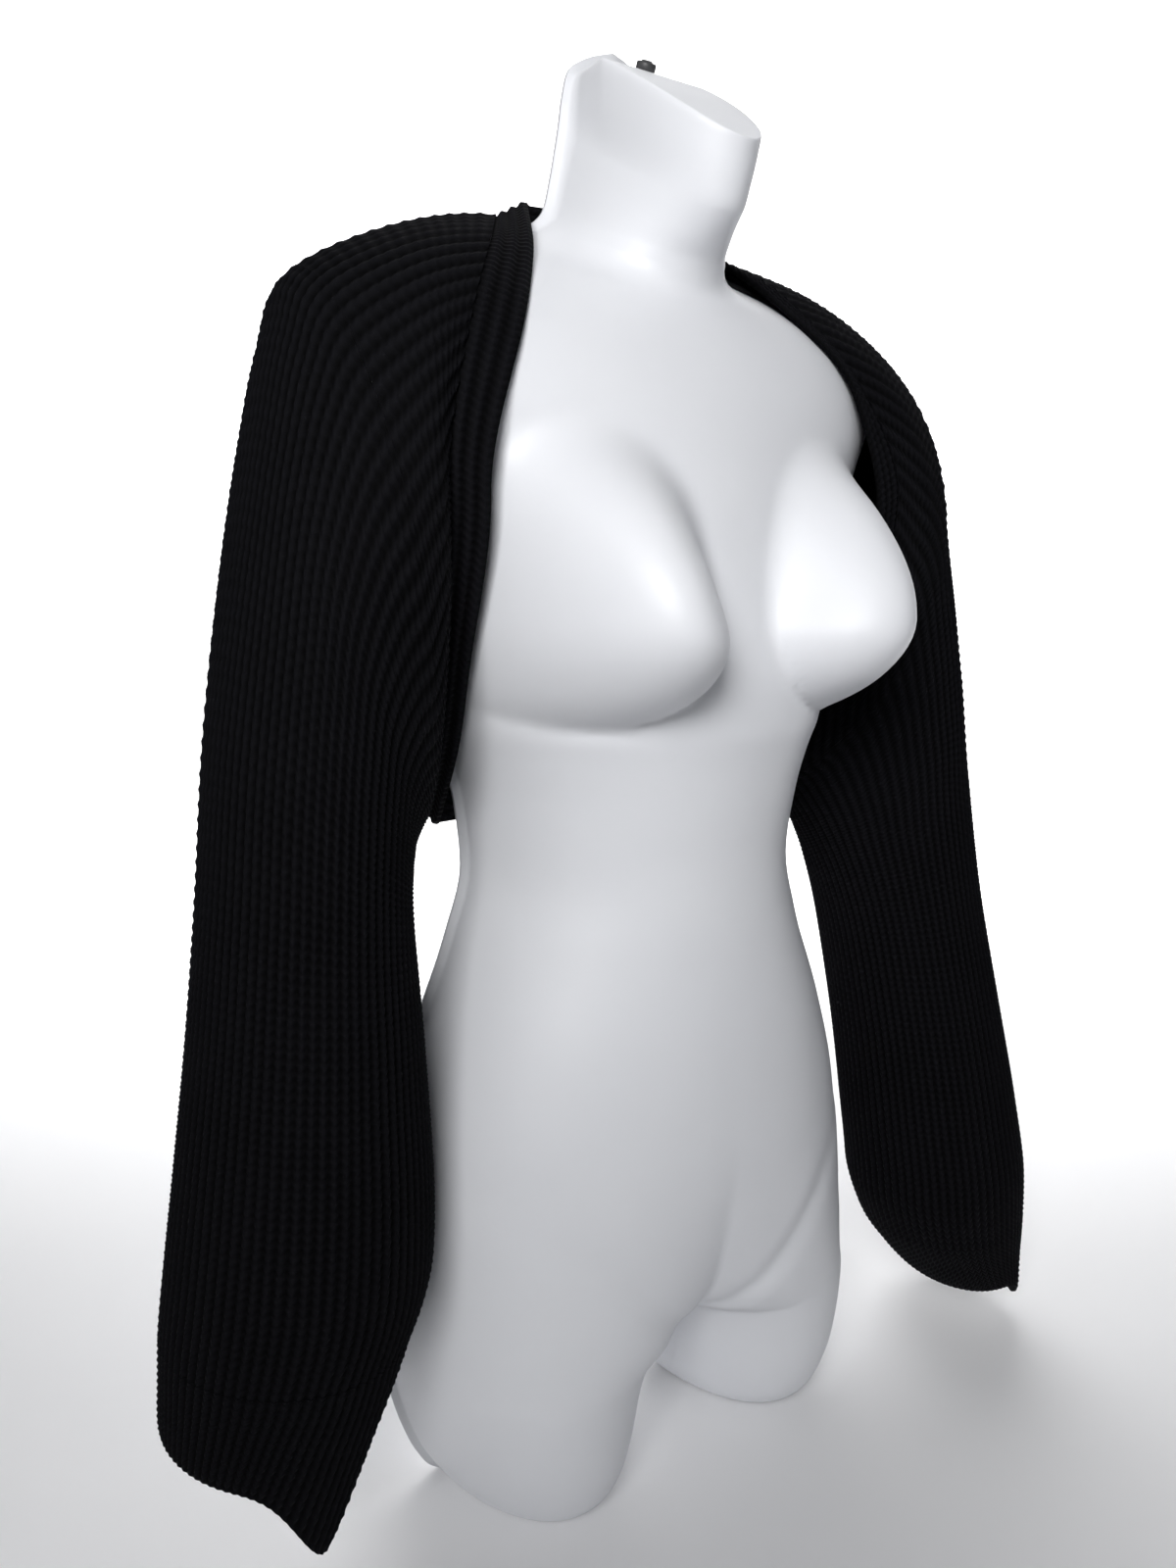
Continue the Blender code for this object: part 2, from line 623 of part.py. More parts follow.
def build_band(collection, tree):
    """One strip round the opening, lofted between its seam and its free edge, with its wales raised."""
    neck = np.array([-1.0, -0.5])
    front = np.linspace(0, 180, SLEEVE_RIBS // 2 + 1)
    hem = np.array([-0.5, -1.0])
    seams, edges, seam_normals = [], [], []
    for side in ("right", "left"):
        seam = [skin(neck, 360.0, side, "back"), skin(0.0, front, side, "front"), skin(hem, 180.0, side, "back")]
        normal = [
            skin_normals(neck, 360.0, side, "back"),
            skin_normals(0.0, front, side, "front"),
            skin_normals(hem, 180.0, side, "back"),
        ]
        neck_part = (neck + 1)[:, None]
        hem_part = (hem + 1)[:, None]
        neck_middle = middle_line(360.0) + np.array([0, 0, BAND_WIDTH])
        hem_middle = middle_line(180.0) - np.array([0, 0, BAND_WIDTH])
        edge = [
            neck_middle * (1 - neck_part) + edge_point("edge", 0.0) * neck_part,
            edge_point("edge", front, HANG[side]["inward"]),
            hem_middle * (1 - hem_part) + edge_point("edge", 180.0) * hem_part,
        ]
        seams.append(to_world(np.concatenate(seam), side))
        seam_normals.append(to_world(np.concatenate(normal), side))
        edges.append(to_world(np.concatenate(edge), side))
    seam = np.concatenate([seams[0], seams[1][1:-1][::-1]])
    edge = np.concatenate([edges[0], edges[1][1:-1][::-1]])
    normal = np.concatenate([seam_normals[0], seam_normals[1][1:-1][::-1]])
    across = np.linspace(0, 1, 2 * BAND_WALES + 1)[None, :, None]
    base = seam[:, None] * (1 - across) + edge[:, None] * across
    base = pull_in(clear_of_form(base, tree), 1, True, False)
    ring = np.roll(base, -1, 0) - np.roll(base, 1, 0)
    own = np.cross(ring, np.gradient(base, axis=1))
    own /= np.linalg.norm(own, axis=-1, keepdims=True)
    own *= np.sign((own * normal[:, None]).sum(-1, keepdims=True))
    blended = normal[:, None] * (1 - across) + own * across
    blended /= np.linalg.norm(blended, axis=-1, keepdims=True)
    points, faces = band_mesh(base, blended)
    obj = add_object(collection, "border_band", points, faces, KNIT_COLOUR, KNIT_ROUGHNESS)
    clean(obj, MERGE)
    obj.data.shade_smooth()


def band_mesh(base, normal):
    """A closed loop of sections: the raised outer face and the plain inner one."""
    stations, columns = base.shape[:2]
    outer = base + normal * rib_rise(columns)
    inner = base[:, ::2]
    section = np.concatenate([outer, inner[:, ::-1]], 1)
    count = section.shape[1]
    station = np.arange(stations)[:, None]
    column = np.arange(count)[None]
    following = (column + 1) % count
    after = (station + 1) % stations
    quad = np.stack(
        np.broadcast_arrays(
            station * count + column, station * count + following, after * count + following, after * count + column
        ),
        -1,
    )
    return section.reshape(-1, 3), quad.reshape(-1, 4).tolist()


def cap_top(forward):
    """Height of the neck cap in the middle plane."""
    up, depth, slope = (FORM_TABLE[name][-1] for name in ("up", "depth", "slope"))
    return cap_height(up, forward, depth) - slope * forward


def build_plug(collection):
    """The small plug that stands on the slanted neck cap."""
    bpy.ops.mesh.primitive_cylinder_add(vertices=16, radius=PLUG_RADIUS, depth=PLUG_HEIGHT)
    plug = bpy.context.object
    plug.name = "neck_plug"
    for owner in plug.users_collection:
        owner.objects.unlink(plug)
    collection.objects.link(plug)
    behind, before = cap_top(PLUG_FORWARD - PLUG_RADIUS), cap_top(PLUG_FORWARD + PLUG_RADIUS)
    lift = PLUG_HEIGHT / 2 + PLUG_GAP
    tilt = np.arctan2(behind - before, 2 * PLUG_RADIUS)
    top = (behind + before) / 2
    plug.rotation_euler = (tilt, 0.0, 0.0)
    plug.location = (
        SHIFT_X,
        SHIFT_Y - PLUG_FORWARD - lift * np.sin(tilt),
        top + lift * np.cos(tilt),
    )
    add_material(plug, "neck_plug_material", PLUG_COLOUR, PLUG_ROUGHNESS)


def main():
    for obj in list(bpy.data.objects):
        bpy.data.objects.remove(obj, do_unlink=True)
    collection = bpy.data.collections.new("knitted_shrug")
    bpy.context.scene.collection.children.link(collection)
    build_form(collection)
    build_plug(collection)
    tree = form_tree()
    build_back(collection, tree)
    for side in ("right", "left"):
        build_front(collection, side, tree)
        build_tube(collection, f"{side}_sleeve", side, 0, CUFF_ROW, 9, tree)
        build_tube(collection, f"{side}_cuff", side, CUFF_ROW, len(RING_TABLE["top up"]) - 1, 3, tree)
    build_band(collection, tree)


main()
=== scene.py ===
"""Knitted shrug worn by a half-round dress form: its fine knit, finishes, stage and camera.

The shrug is a wide ribbed bolero: a back panel, two short fronts, two long sleeves with cuffs and one
border band round the whole opening. In the tables "out" is the distance from the middle plane towards
the arm, "forward" is towards the chest and "up" is the height above the floor, all in metres.
"""

import math

import bpy
import numpy as np
from bpy.props import FloatProperty, FloatVectorProperty, IntProperty, PointerProperty
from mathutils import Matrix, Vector


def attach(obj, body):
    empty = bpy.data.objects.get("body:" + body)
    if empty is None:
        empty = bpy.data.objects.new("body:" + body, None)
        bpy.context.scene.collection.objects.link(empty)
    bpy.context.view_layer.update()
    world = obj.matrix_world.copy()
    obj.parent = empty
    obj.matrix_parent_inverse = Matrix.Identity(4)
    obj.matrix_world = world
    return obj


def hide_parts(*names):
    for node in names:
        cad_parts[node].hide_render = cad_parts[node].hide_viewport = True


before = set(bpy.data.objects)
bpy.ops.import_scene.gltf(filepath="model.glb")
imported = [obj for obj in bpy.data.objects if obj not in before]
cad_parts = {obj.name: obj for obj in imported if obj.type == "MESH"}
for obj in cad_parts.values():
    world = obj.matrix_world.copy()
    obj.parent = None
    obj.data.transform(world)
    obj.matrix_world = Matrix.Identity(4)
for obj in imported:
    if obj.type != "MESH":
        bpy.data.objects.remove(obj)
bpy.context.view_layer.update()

bl_info = {
    "name": "Knitted shrug on a dress form",
    "version": (1, 0, 0),
    "blender": (4, 5, 0),
    "location": "View3D > Sidebar > Shrug",
    "description": "Builds a ribbed knit shrug on a moulded dress form",
    "category": "Object",
}

SHIFT_Y = 0.06751

# Shapes narrower than this have closed up.
MERGE = 0.000001

# Dress form sizes
FORM_WALL = 0.0025
FLANGE_WIDTH = 0.0040
RIM = 0.0030
CROTCH_UP = 0.092
CHEST_FULLNESS = 0.92
NECK_FULLNESS = 0.60
NECK_BASE_UP = 0.750
NECK_BLEND = 0.012
ROW_STEPS = 5
FORM_COLUMNS = 61

FORM_TABLE = {
    "up":     (0.000, 0.002, 0.008, 0.022, 0.048, 0.075, 0.092, 0.100, 0.112, 0.130, 0.155, 0.190,
               0.235, 0.290, 0.345, 0.390, 0.430, 0.456, 0.474, 0.492, 0.514, 0.538, 0.564, 0.592,
               0.625, 0.655, 0.680, 0.704, 0.722, 0.734, 0.742, 0.756, 0.776, 0.800, 0.820, 0.832,
               0.840, 0.846),
    "width":  (0.112, 0.127, 0.137, 0.146, 0.156, 0.163, 0.166, 0.167, 0.168, 0.169, 0.169, 0.167,
               0.159, 0.141, 0.118, 0.105, 0.109, 0.117, 0.125, 0.131, 0.136, 0.141, 0.148, 0.159,
               0.176, 0.191, 0.195, 0.184, 0.147, 0.101, 0.064, 0.045, 0.039, 0.034, 0.030, 0.026,
               0.015, 0.000),
    "inner":  (0.056, 0.043, 0.034, 0.026, 0.019, 0.011, 0.000, -0.016, -0.036, -0.060, -0.088, -0.120,
               -0.150, -0.141, -0.118, -0.105, -0.109, -0.117, -0.125, -0.131, -0.136, -0.141, -0.148,
               -0.159, -0.176, -0.191, -0.195, -0.184, -0.147, -0.101, -0.064, -0.045, -0.039, -0.034,
               -0.030, -0.026, -0.015, 0.000),
    "depth":  (0.066, 0.082, 0.093, 0.103, 0.110, 0.112, 0.113, 0.114, 0.116, 0.118, 0.120, 0.123,
               0.126, 0.124, 0.118, 0.116, 0.121, 0.126, 0.130, 0.130, 0.127, 0.122, 0.118, 0.115,
               0.109, 0.104, 0.099, 0.092, 0.086, 0.080, 0.077, 0.080, 0.090, 0.103, 0.113, 0.116,
               0.116, 0.116),
    "slope":  (0.0,) * 24
              + (0.04, 0.12, 0.22, 0.32, 0.40, 0.42, 0.42, 0.44, 0.50, 0.57, 0.62, 0.62,
                 0.62, 0.62),
}
BELLY_SPREAD = 1.10
BELLY_DEPTH = 0.108
BELLY_RISE = 0.032
BELLY_BLEND = 14.0
BELLY_TOP = 0.290
BUST_OUT = 0.086
BUST_UP = 0.534
BUST_HEIGHT = 0.078
BUST_HALF_WIDTH = 0.070
BUST_RISE = 0.112
BUST_FALL = 0.056
BUST_SOFTNESS = 2.0
BUST_ROUNDNESS = 0.95
CREASE_DEPTH = 0.0055
CREASE_WIDTH = 0.0140
CREASE_RISE = 0.150
CAP_UP = 0.846
CAP_FROM = 0.806
CAP_TO = 0.832
CAP_REACH = 0.040
CAP_SPREAD = 0.36
CAP_DOME = 0.006
SOLE_ROWS = 14
SOLE_EDGE_WAY = (0.6, 0.0, -0.8)
FORM_WELD = 0.00002

# Cloth is kept this far off the form's face. The face's row is found by tries and its slope by a step;
# above its top and outside its rim it falls away over a short fade.
CLOTH_GAP = 0.001
FACE_TRIES = 6
FACE_STEP = 0.002
FACE_TOP = 0.735
FACE_FADE = 0.006
FACE_FALL = 0.05

# Neck plug sizes
PLUG_FORWARD = 0.0320
PLUG_REACH = 0.0055
PLUG_LIFT = 0.0003
PLUG_WELD = 0.00001
PLUG_PROFILE = {
    "radius": (0.0, 0.0052, 0.0055, 0.0055, 0.0050, 0.0032, 0.0029, 0.0024, 0.0),
    "height": (0.0, 0.0000, 0.0005, 0.0034, 0.0040, 0.0043, 0.0048, 0.0050, 0.0050),
}

# Knit sizes
INNER_WALL = 0.0016
SEAM = 0.0001
SLEEVE_RIBS = 72
RIB_COLUMNS = 4
STITCH_ROWS = 3
STITCH_LENGTH = 0.0050
INNER_STEPS = 16
COARSE_PLACES = 60
BAND_WALES = 3
BAND_WIDTH = 0.023
BAND_COLUMNS = 6
BAND_INNER_STEPS = 3
# Lengths of half the neck, one front and half the hem, which share out the band's stitches.
BAND_RUNS = {"neck": 0.075, "front": 0.47, "hem": 0.135}
# Fullness of a rib's crest, lag of a stitch's sides, and the beads' share left between the ribs.
CREST_FULLNESS = 0.8
STITCH_LAG = 0.3
BEAD_BETWEEN = 0.35
# Share of the relief that is gone at a cuff's end.
END_EASE = 0.65
# Step over the skin from the band's seam to its edge.
BAND_PLACE = 0.25
# Steps over the skin to each side of a point, from which its normal is found.
NORMAL_PLACE = 0.04
NORMAL_TURN = 1.5

# Border band: the free edge and the seam where the panels join it, from the neck (0) to the hem (180).
EDGE_TABLE = {
    "turn":         (0.0, 30.0, 60.0, 90.0, 120.0, 150.0, 180.0),
    "edge out":     (0.053, 0.086, 0.119, 0.139, 0.139, 0.128, 0.116),
    "edge forward": (-0.006, 0.048, 0.084, 0.090, 0.073, 0.036, -0.010),
    "edge up":      (0.761, 0.717, 0.664, 0.596, 0.530, 0.468, 0.414),
    "seam out":     (0.074, 0.109, 0.141, 0.160, 0.160, 0.149, 0.132),
    "seam forward": (-0.005, 0.043, 0.075, 0.086, 0.074, 0.041, -0.007),
    "seam up":      (0.750, 0.722, 0.674, 0.605, 0.543, 0.484, 0.430),
}
BACK_TOP_FORWARD = -0.0080
BACK_TOP_UP = 0.741
BACK_HEM_FORWARD = -0.024
BACK_HEM_UP = 0.436
BACK_BULGE = 0.016
MIDDLE_BULGE = 0.0064
SHOULDER_PROUD = 0.008
FRONT_PROUD = 0.006

# Sleeve rings from the armhole to the cuff's end; the cuff starts at the row named by CUFF_ROW.
RING_TABLE = {
    "top out":        (0.193, 0.208, 0.222, 0.239, 0.255, 0.265, 0.276, 0.287, 0.296, 0.302, 0.304, 0.306),
    "top forward":    (-0.006, -0.001, 0.006, 0.014, 0.020, 0.024, 0.030, 0.034, 0.037, 0.038, 0.039, 0.040),
    "top up":         (0.707, 0.676, 0.624, 0.552, 0.470, 0.394, 0.325, 0.262, 0.212, 0.173, 0.148, 0.125),
    "under out":      (0.146, 0.150, 0.154, 0.158, 0.161, 0.163, 0.163, 0.163, 0.166, 0.180, 0.202, 0.226),
    "under forward":  (0.000, 0.004, 0.008, 0.012, 0.016, 0.022, 0.030, 0.036, 0.040, 0.041, 0.041, 0.041),
    "under up":       (0.416, 0.412, 0.407, 0.400, 0.390, 0.365, 0.312, 0.252, 0.202, 0.161, 0.132, 0.106),
    "centre forward": (0.033, 0.032, 0.030, 0.028, 0.026, 0.028, 0.034, 0.040, 0.043, 0.043, 0.042, 0.041),
    "half depth":     (0.062, 0.062, 0.062, 0.062, 0.060, 0.059, 0.060, 0.062, 0.063, 0.059, 0.054, 0.050),
    "belly":          (0.012, 0.014, 0.016, 0.011, 0.004, 0.001, 0.000, 0.000, 0.000, 0.000, 0.000, 0.000),
}
CUFF_ROW = 9
# How each side differs from the tables: the sleeve's drop, lean and narrowing are reached gradually
# below the armhole, the shoulder's width fades down it, and the upper front lies further inward.
HANG = {
    "right": {"drop": 0.000, "lean": 0.000, "narrow": 0.000, "shoulder": -0.002,
              "inward": 0.000, "droop": 0.046, "droop turn": 122.0},
    "left": {"drop": 0.073, "lean": 0.041, "narrow": 0.018, "shoulder": 0.021,
             "inward": 0.018, "droop": 0.030, "droop turn": 45.0},
}
HANG_ROWS = (1, 8)
SHOULDER_ROWS = 3
DROOP_NARROWNESS = 6
SIDES = {"right": -1.0, "left": 1.0}
MIRROR = np.array([-1.0, 1.0, 1.0])

# Finishes: what each shader is told
YARN_LOOK = {
    "Roughness": 0.78,
    "Specular IOR Level": 0.04,
    "Sheen Weight": 0.008,
    "Sheen Roughness": 0.45,
    "Sheen Tint": (0.60, 0.60, 0.66, 1.0),
}
FORM_LOOK = {"Subsurface Weight": 0.06, "Subsurface Radius": (0.004, 0.004, 0.004), "IOR": 1.47}
PLUG_LOOK = {"Roughness": 0.5}
FLOOR_LOOK = {"Roughness": 0.7}
PLUG_COLOURS = ((0.025, 0.025, 0.026, 1.0), (0.075, 0.075, 0.078, 1.0))
FORM_SHADE = (0.965, 0.965, 0.97)
FLOOR_SHADE = (0.98, 0.98, 0.98)
ROUGHNESS_BELOW = 0.05
ROUGHNESS_ABOVE = 0.08
# How much each wave brightens the yarn over its ground level (crest and leg paint light on the rib crests
# and stitch legs and painted shade between them, fibre and cloud vary its tone), how much it raises it, and
# the lag of a stitch's legs.
YARN_GROUND = 0.12
YARN_TONE_AND_PAINTED_LIGHT = {"crest": 0.32, "leg": 0.10, "fibre": 0.30, "cloud": 0.30}
YARN_HEIGHTS = {"leg": 0.5, "furrow": 0.18, "fibre": 0.9}
LEG_LAG = 0.45

# Camera and stage; a place of two numbers is its distance the way that the camera looks, and its height.
SKY_COLOUR = (0.93, 0.95, 1.0, 1.0)
SKY_LIGHT = 0.12
SKY_SEEN = 0.90
FLOOR_SPAN = 6.0
WALL_AHEAD = 2.6
WALL_TOP = 4.0
FLOOR_ROWS = 20
CORNER_ROWS = 16
KEY_PLACE = (-1.05, -1.00, 1.20)
KEY_AIM = (0.0, SHIFT_Y - 0.10, 0.74)
KEY_SIZE = 0.6
KEY_SPREAD = 80.0
FILL_PLACE = (1.3, -1.2, 0.9)
FILL_AIM = (0.0, SHIFT_Y, 0.45)
FILL_SIZE = 1.4
BACKDROP_SIDES = (-1.3, 0.0, 1.3)
BACKDROP_PLACE = (1.3, 2.2)
BACKDROP_AIM = (3.4, 1.0)
BACKDROP_FAN = 1.3
BACKDROP_SIZE = 1.4
FLOOR_LIGHT_PLACE = (1.0, 1.5)
FLOOR_LIGHT_AIM = (0.9, 0.0)
FLOOR_LIGHT_SIZE = 1.2
FLOOR_LIGHT_SPREAD = 100.0
CAMERA_PLACE = (-0.442, -0.587, 0.562)
CAMERA_YAW = 36.0
CAMERA_PITCH = 10.5
CAMERA_LENS = 27.0
SENSOR = 36.0


def length_setting(name, description, default):
    return FloatProperty(name=name, description=description, default=default, unit="LENGTH")


def power_setting(name, description, default):
    return FloatProperty(name=name, description=description, default=default, unit="POWER")


def colour_setting(name, description, default):
    return FloatVectorProperty(
        name=name, description=description, default=default, subtype="COLOR", size=len(default)
    )


class KnitSettings(bpy.types.PropertyGroup):
    rib_height: length_setting("Rib height", "How far a rib's crest stands off the wall", 0.0015)
    stitch_height: length_setting("Stitch height", "Rise of each stitch along a rib", 0.0009)
    # The yarn's colour runs from its lit side to a painted shade deep between the ribs, where shade falls.
    yarn_colour: colour_setting("Yarn", "Colour of the yarn's lit side", (0.0070, 0.0070, 0.0088, 1.0))
    painted_shade_colour: colour_setting("Yarn shade", "Colour deep between the ribs", (0.0012, 0.0012, 0.0014, 1.0))


class FormSettings(bpy.types.PropertyGroup):
    plastic_colour: colour_setting("Plastic", "Colour of the form", (0.80, 0.81, 0.84, 1.0))
    roughness: FloatProperty(
        name="Roughness", description="How dull the plastic is", default=0.42, subtype="FACTOR"
    )
    plug_sides: IntProperty(name="Plug sides", description="Points round the neck plug", default=48)


class StageSettings(bpy.types.PropertyGroup):
    key_power: power_setting("Key light", "Power of the main light", 5.0)
    fill_power: power_setting("Fill light", "Power of the weak light", 0.3)
    floor_power: power_setting("Floor light", "Power of the light on the floor", 5.0)
    backdrop_power: power_setting("Backdrop light", "Power of each light on the backdrop", 75.0)
    floor_colour: colour_setting("Floor", "Colour of the floor", (0.93, 0.93, 0.94, 1.0))


def smooth_column(places, values, at):
    """Values between table rows, by cubic pieces whose slopes never overshoot the table."""
    places = np.asarray(places, float)
    values = np.asarray(values, float)
    at = np.asarray(at, float)
    step = np.diff(places)
    rise = np.diff(values) / step
    slope = np.empty_like(values)
    slope[0], slope[-1] = rise[0], rise[-1]
    same_way = rise[:-1] * rise[1:] > 0
    near = 2 * step[1:] + step[:-1]
    far = step[1:] + 2 * step[:-1]
    safe = np.where(same_way, rise[:-1] * rise[1:], 1.0)
    mean = (near + far) * safe / np.where(same_way, near * rise[1:] + far * rise[:-1], 1.0)
    slope[1:-1] = np.where(same_way, mean, 0.0)
    row = np.clip(np.searchsorted(places, at, side="right") - 1, 0, len(places) - 2)
    part = (at - places[row]) / step[row]
    return (
        (2 * part**3 - 3 * part**2 + 1) * values[row]
        + (part**3 - 2 * part**2 + part) * step[row] * slope[row]
        + (3 * part**2 - 2 * part**3) * values[row + 1]
        + (part**3 - part**2) * step[row] * slope[row + 1]
    )


def through(before, start, end, after, part):
    """The Catmull-Rom curve from start to end, with the points before and after giving its slopes."""
    return 0.5 * (
        2 * start
        + (end - before) * part
        + (2 * before - 5 * start + 4 * end - after) * part**2
        + (3 * start - before - 3 * end + after) * part**3
    )


def size(vectors):
    return np.linalg.norm(vectors, axis=-1, keepdims=True)


def unit(vectors):
    """Vectors of length one that point the same way."""
    return vectors / size(vectors)


# Dress form


def bust_depth(out, up):
    """The soft rounding of the chest, long above and short and full below: a dome over an ellipse."""
    rise = up - BUST_UP
    reach = np.where(rise > 0, BUST_RISE, BUST_FALL)
    away = ((out - BUST_OUT) / BUST_HALF_WIDTH) ** 2 + (rise / reach) ** 2
    lower = 0.5 - 0.5 * np.tanh(rise / BUST_FALL * 2)
    shape = BUST_SOFTNESS + (BUST_ROUNDNESS - BUST_SOFTNESS) * lower
    return BUST_HEIGHT * np.clip(1 - away, 0, 1) ** shape


def belly_depth(out, up):
    """The lower belly: half circles across, in a wedge that closes down to the crotch."""
    height = np.maximum(up - CROTCH_UP, 0.0)
    half_width = BELLY_SPREAD * height + MERGE
    depth = BELLY_DEPTH * (1 - np.exp(-height / BELLY_RISE))
    return depth * np.sqrt(np.clip(1 - (out / half_width) ** 2, 0, 1))


def leg_crease(out, up):
    """The shallow furrow from the crotch up to the hip, fading as it rises."""
    height = np.maximum(up - CROTCH_UP, 0.0)
    away = (np.abs(out) - BELLY_SPREAD * height) / CREASE_WIDTH
    fade = np.clip(1 - height / CREASE_RISE, 0, 1) * np.clip(height / CREASE_WIDTH, 0, 1)
    return CREASE_DEPTH * np.exp(-(away**2)) * fade


def cap_share(up, deep):
    """How far a point belongs to the neck cap: none below it and at the rim, all on its front part."""
    part = np.clip((up - CAP_FROM) / (CAP_TO - CAP_FROM), 0, 1)
    return part * np.clip(deep / CAP_REACH, 0, 1)


def cap_height(up, deep, depth):
    """Rows near the top drawn together in front, where the neck cap is slightly domed and its edge crisp."""
    share = cap_share(up, deep)
    along = np.clip(deep / depth, 0, 1)
    return up + share * (CAP_UP - up + 4 * CAP_DOME * along * (1 - along))


def cap_top(forward):
    """Height of the neck cap in the middle plane."""
    up, depth, slope = (FORM_TABLE[name][-1] for name in ("up", "depth", "slope"))
    return cap_height(up, forward, depth) - slope * forward


def form_rows(row):
    """The table's columns up, width, inner, depth and slope at whole or part rows."""
    return (smooth_column(range(len(column)), column, row) for column in FORM_TABLE.values())


def form_depth(out, up, centre, half, depth):
    """How far forward the form's face lies at a place across one of its rows: a flattened half circle,
    joined to the belly by a high-power mean and raised by the bust."""
    across = np.clip((out - centre) / half, -1, 1)
    round_part = np.sqrt(np.clip(1 - across**2, 0, 1))
    neck = np.clip((up - NECK_BASE_UP + NECK_BLEND / 2) / NECK_BLEND, 0, 1)
    fullness = CHEST_FULLNESS + (NECK_FULLNESS - CHEST_FULLNESS) * neck
    arch = depth * round_part**fullness
    fade = np.clip((BELLY_TOP - up) / (BELLY_TOP - CROTCH_UP), 0, 1)
    belly = belly_depth(out, up) * (1 - (1 - fade) ** 2)
    deep = (arch**BELLY_BLEND + belly**BELLY_BLEND) ** (1 / BELLY_BLEND)
    deep = deep + bust_depth(out, up) * round_part**0.5 - leg_crease(out, up) * round_part
    return RIM + deep * (1 - RIM / depth)


def form_half():
    """A grid over one half of the form: rows up it, columns from its middle or inner thigh to its rim."""
    rows = len(FORM_TABLE["up"])
    row = np.linspace(0, rows - 1, (rows - 1) * ROW_STEPS + 1)[:, None]
    up, width, inner, depth, slope = form_rows(row)
    half = np.maximum((width - inner) / 2, MERGE)
    centre = (width + inner) / 2
    start = np.arccos(np.clip(centre / half, -1, 1))
    turn = start + (np.pi - start) * np.linspace(0, 1, FORM_COLUMNS)[None]
    out = centre - half * np.cos(turn)
    deep = form_depth(out, up, centre, half, depth)
    out = out * (1 + CAP_SPREAD * cap_share(up, deep))
    return np.stack([out, -deep, cap_height(up, deep, depth) - slope * deep], -1)


def clear_of_form(points):
    """Cloth points moved forward out of the form, each by its depth under the form's face.

    A row of the form is found for each point by repeating up = height + slope * depth, and the move is
    along the face's own slope, so it is the depth divided by the length of (slope across, 1, slope up).
    """
    out, forward, height = np.abs(points[..., 0]), -points[..., 1], points[..., 2]
    rows = len(FORM_TABLE["up"])

    def face(out, height):
        up = height
        for _ in range(FACE_TRIES):
            row = np.interp(up, FORM_TABLE["up"], range(rows))
            _up, width, inner, depth, slope = form_rows(row)
            half = np.maximum((width - inner) / 2, MERGE)
            deep = form_depth(out, up, (width + inner) / 2, half, depth)
            up = height + slope * deep
        beyond = np.clip((out - width) / FACE_FADE, 0, 1) + np.clip((up - FACE_TOP) / FACE_FADE, 0, 1)
        return deep - FACE_FALL * np.clip(beyond, 0, 1)

    step = FACE_STEP
    here = face(out, height)
    across = (face(out + step, height) - face(out - step, height)) / (2 * step)
    rise = (face(out, height + step) - face(out, height - step)) / (2 * step)
    length = np.sqrt(1 + across**2 + rise**2)
    short = np.maximum(CLOTH_GAP - (forward - here) / length, 0) * (forward > 0)
    side = np.sign(points[..., 0])
    move = np.stack([-across * side, -np.ones_like(across), -rise], -1) / length[..., None]
    return points + move * short[..., None]


# Shrug surface


def edge_point(kind, turn, inward=0.0):
    """A point of the band's free edge or seam, by its turn from the neck to the hem, with the upper front
    moved inward."""
    table = EDGE_TABLE
    out, forward, up = (
        smooth_column(table["turn"], table[f"{kind} {way}"], turn) for way in ("out", "forward", "up")
    )
    out = out - inward * np.sin(np.radians(2 * np.minimum(turn, 90))) ** 2
    return np.stack(np.broadcast_arrays(out, forward, up), -1)


def ring_values(row, side):
    """The ring table read at a whole or part row, moved as this side's sleeve hangs."""
    rows = len(RING_TABLE["top up"])
    row = np.clip(row, 0, rows - 1)
    value = {name: smooth_column(range(rows), column, row) for name, column in RING_TABLE.items()}
    part = np.clip((row - HANG_ROWS[0]) / (HANG_ROWS[1] - HANG_ROWS[0]), 0, 1)
    part = part**2 * (3 - 2 * part)
    hang = HANG[side]
    for name in ("top up", "under up"):
        value[name] = value[name] - hang["drop"] * part
    for name in ("top forward", "under forward", "centre forward"):
        value[name] = value[name] + hang["lean"] * part
    value["under out"] = value["under out"] + hang["narrow"] * part
    value["top out"] = value["top out"] + hang["shoulder"] * np.clip(1 - row / SHOULDER_ROWS, 0, 1) ** 2
    value["droop"] = hang["droop"] * np.clip(row - CUFF_ROW, 0, None) / (rows - 1 - CUFF_ROW)
    return value


def ring_point(row, turn, side):
    """A ring through its top, front, under and back points; turn runs that way round in degrees."""
    value = ring_values(row, side)
    angle = np.radians(turn)

    def place(out, forward, up):
        return np.stack(np.broadcast_arrays(out, forward, up), -1)

    top = place(value["top out"], value["top forward"], value["top up"])
    under = place(value["under out"], value["under forward"], value["under up"])
    middle = (top + under) / 2
    middle[..., 0] += value["belly"]
    front, back = middle.copy(), middle.copy()
    front[..., 1] = value["centre forward"] + value["half depth"]
    back[..., 1] = value["centre forward"] - value["half depth"]
    centre = (top + front + under + back) / 4
    shares = (np.cos(angle), np.sin(angle), np.cos(2 * angle))
    cosine, sine, twice = (np.asarray(share)[..., None] for share in shares)
    point = (
        centre
        + (top - under) / 2 * cosine
        + (front - back) / 2 * sine
        + (top + under - front - back) / 4 * twice
    )
    lowest = np.clip(np.cos(angle - np.radians(HANG[side]["droop turn"])), 0, 1)
    point[..., 2] -= value["droop"] * lowest**DROOP_NARROWNESS
    return point


def back_line(turn):
    """The line down the back below the neck's side, from the band seam at the neck to the one at the hem."""
    down = (360.0 - np.asarray(turn, float))[..., None] / 180.0
    line = edge_point("seam", 0.0) * (1 - down) + edge_point("seam", 180.0) * down
    line[..., 1:2] -= BACK_BULGE * 4 * down * (1 - down)
    return line


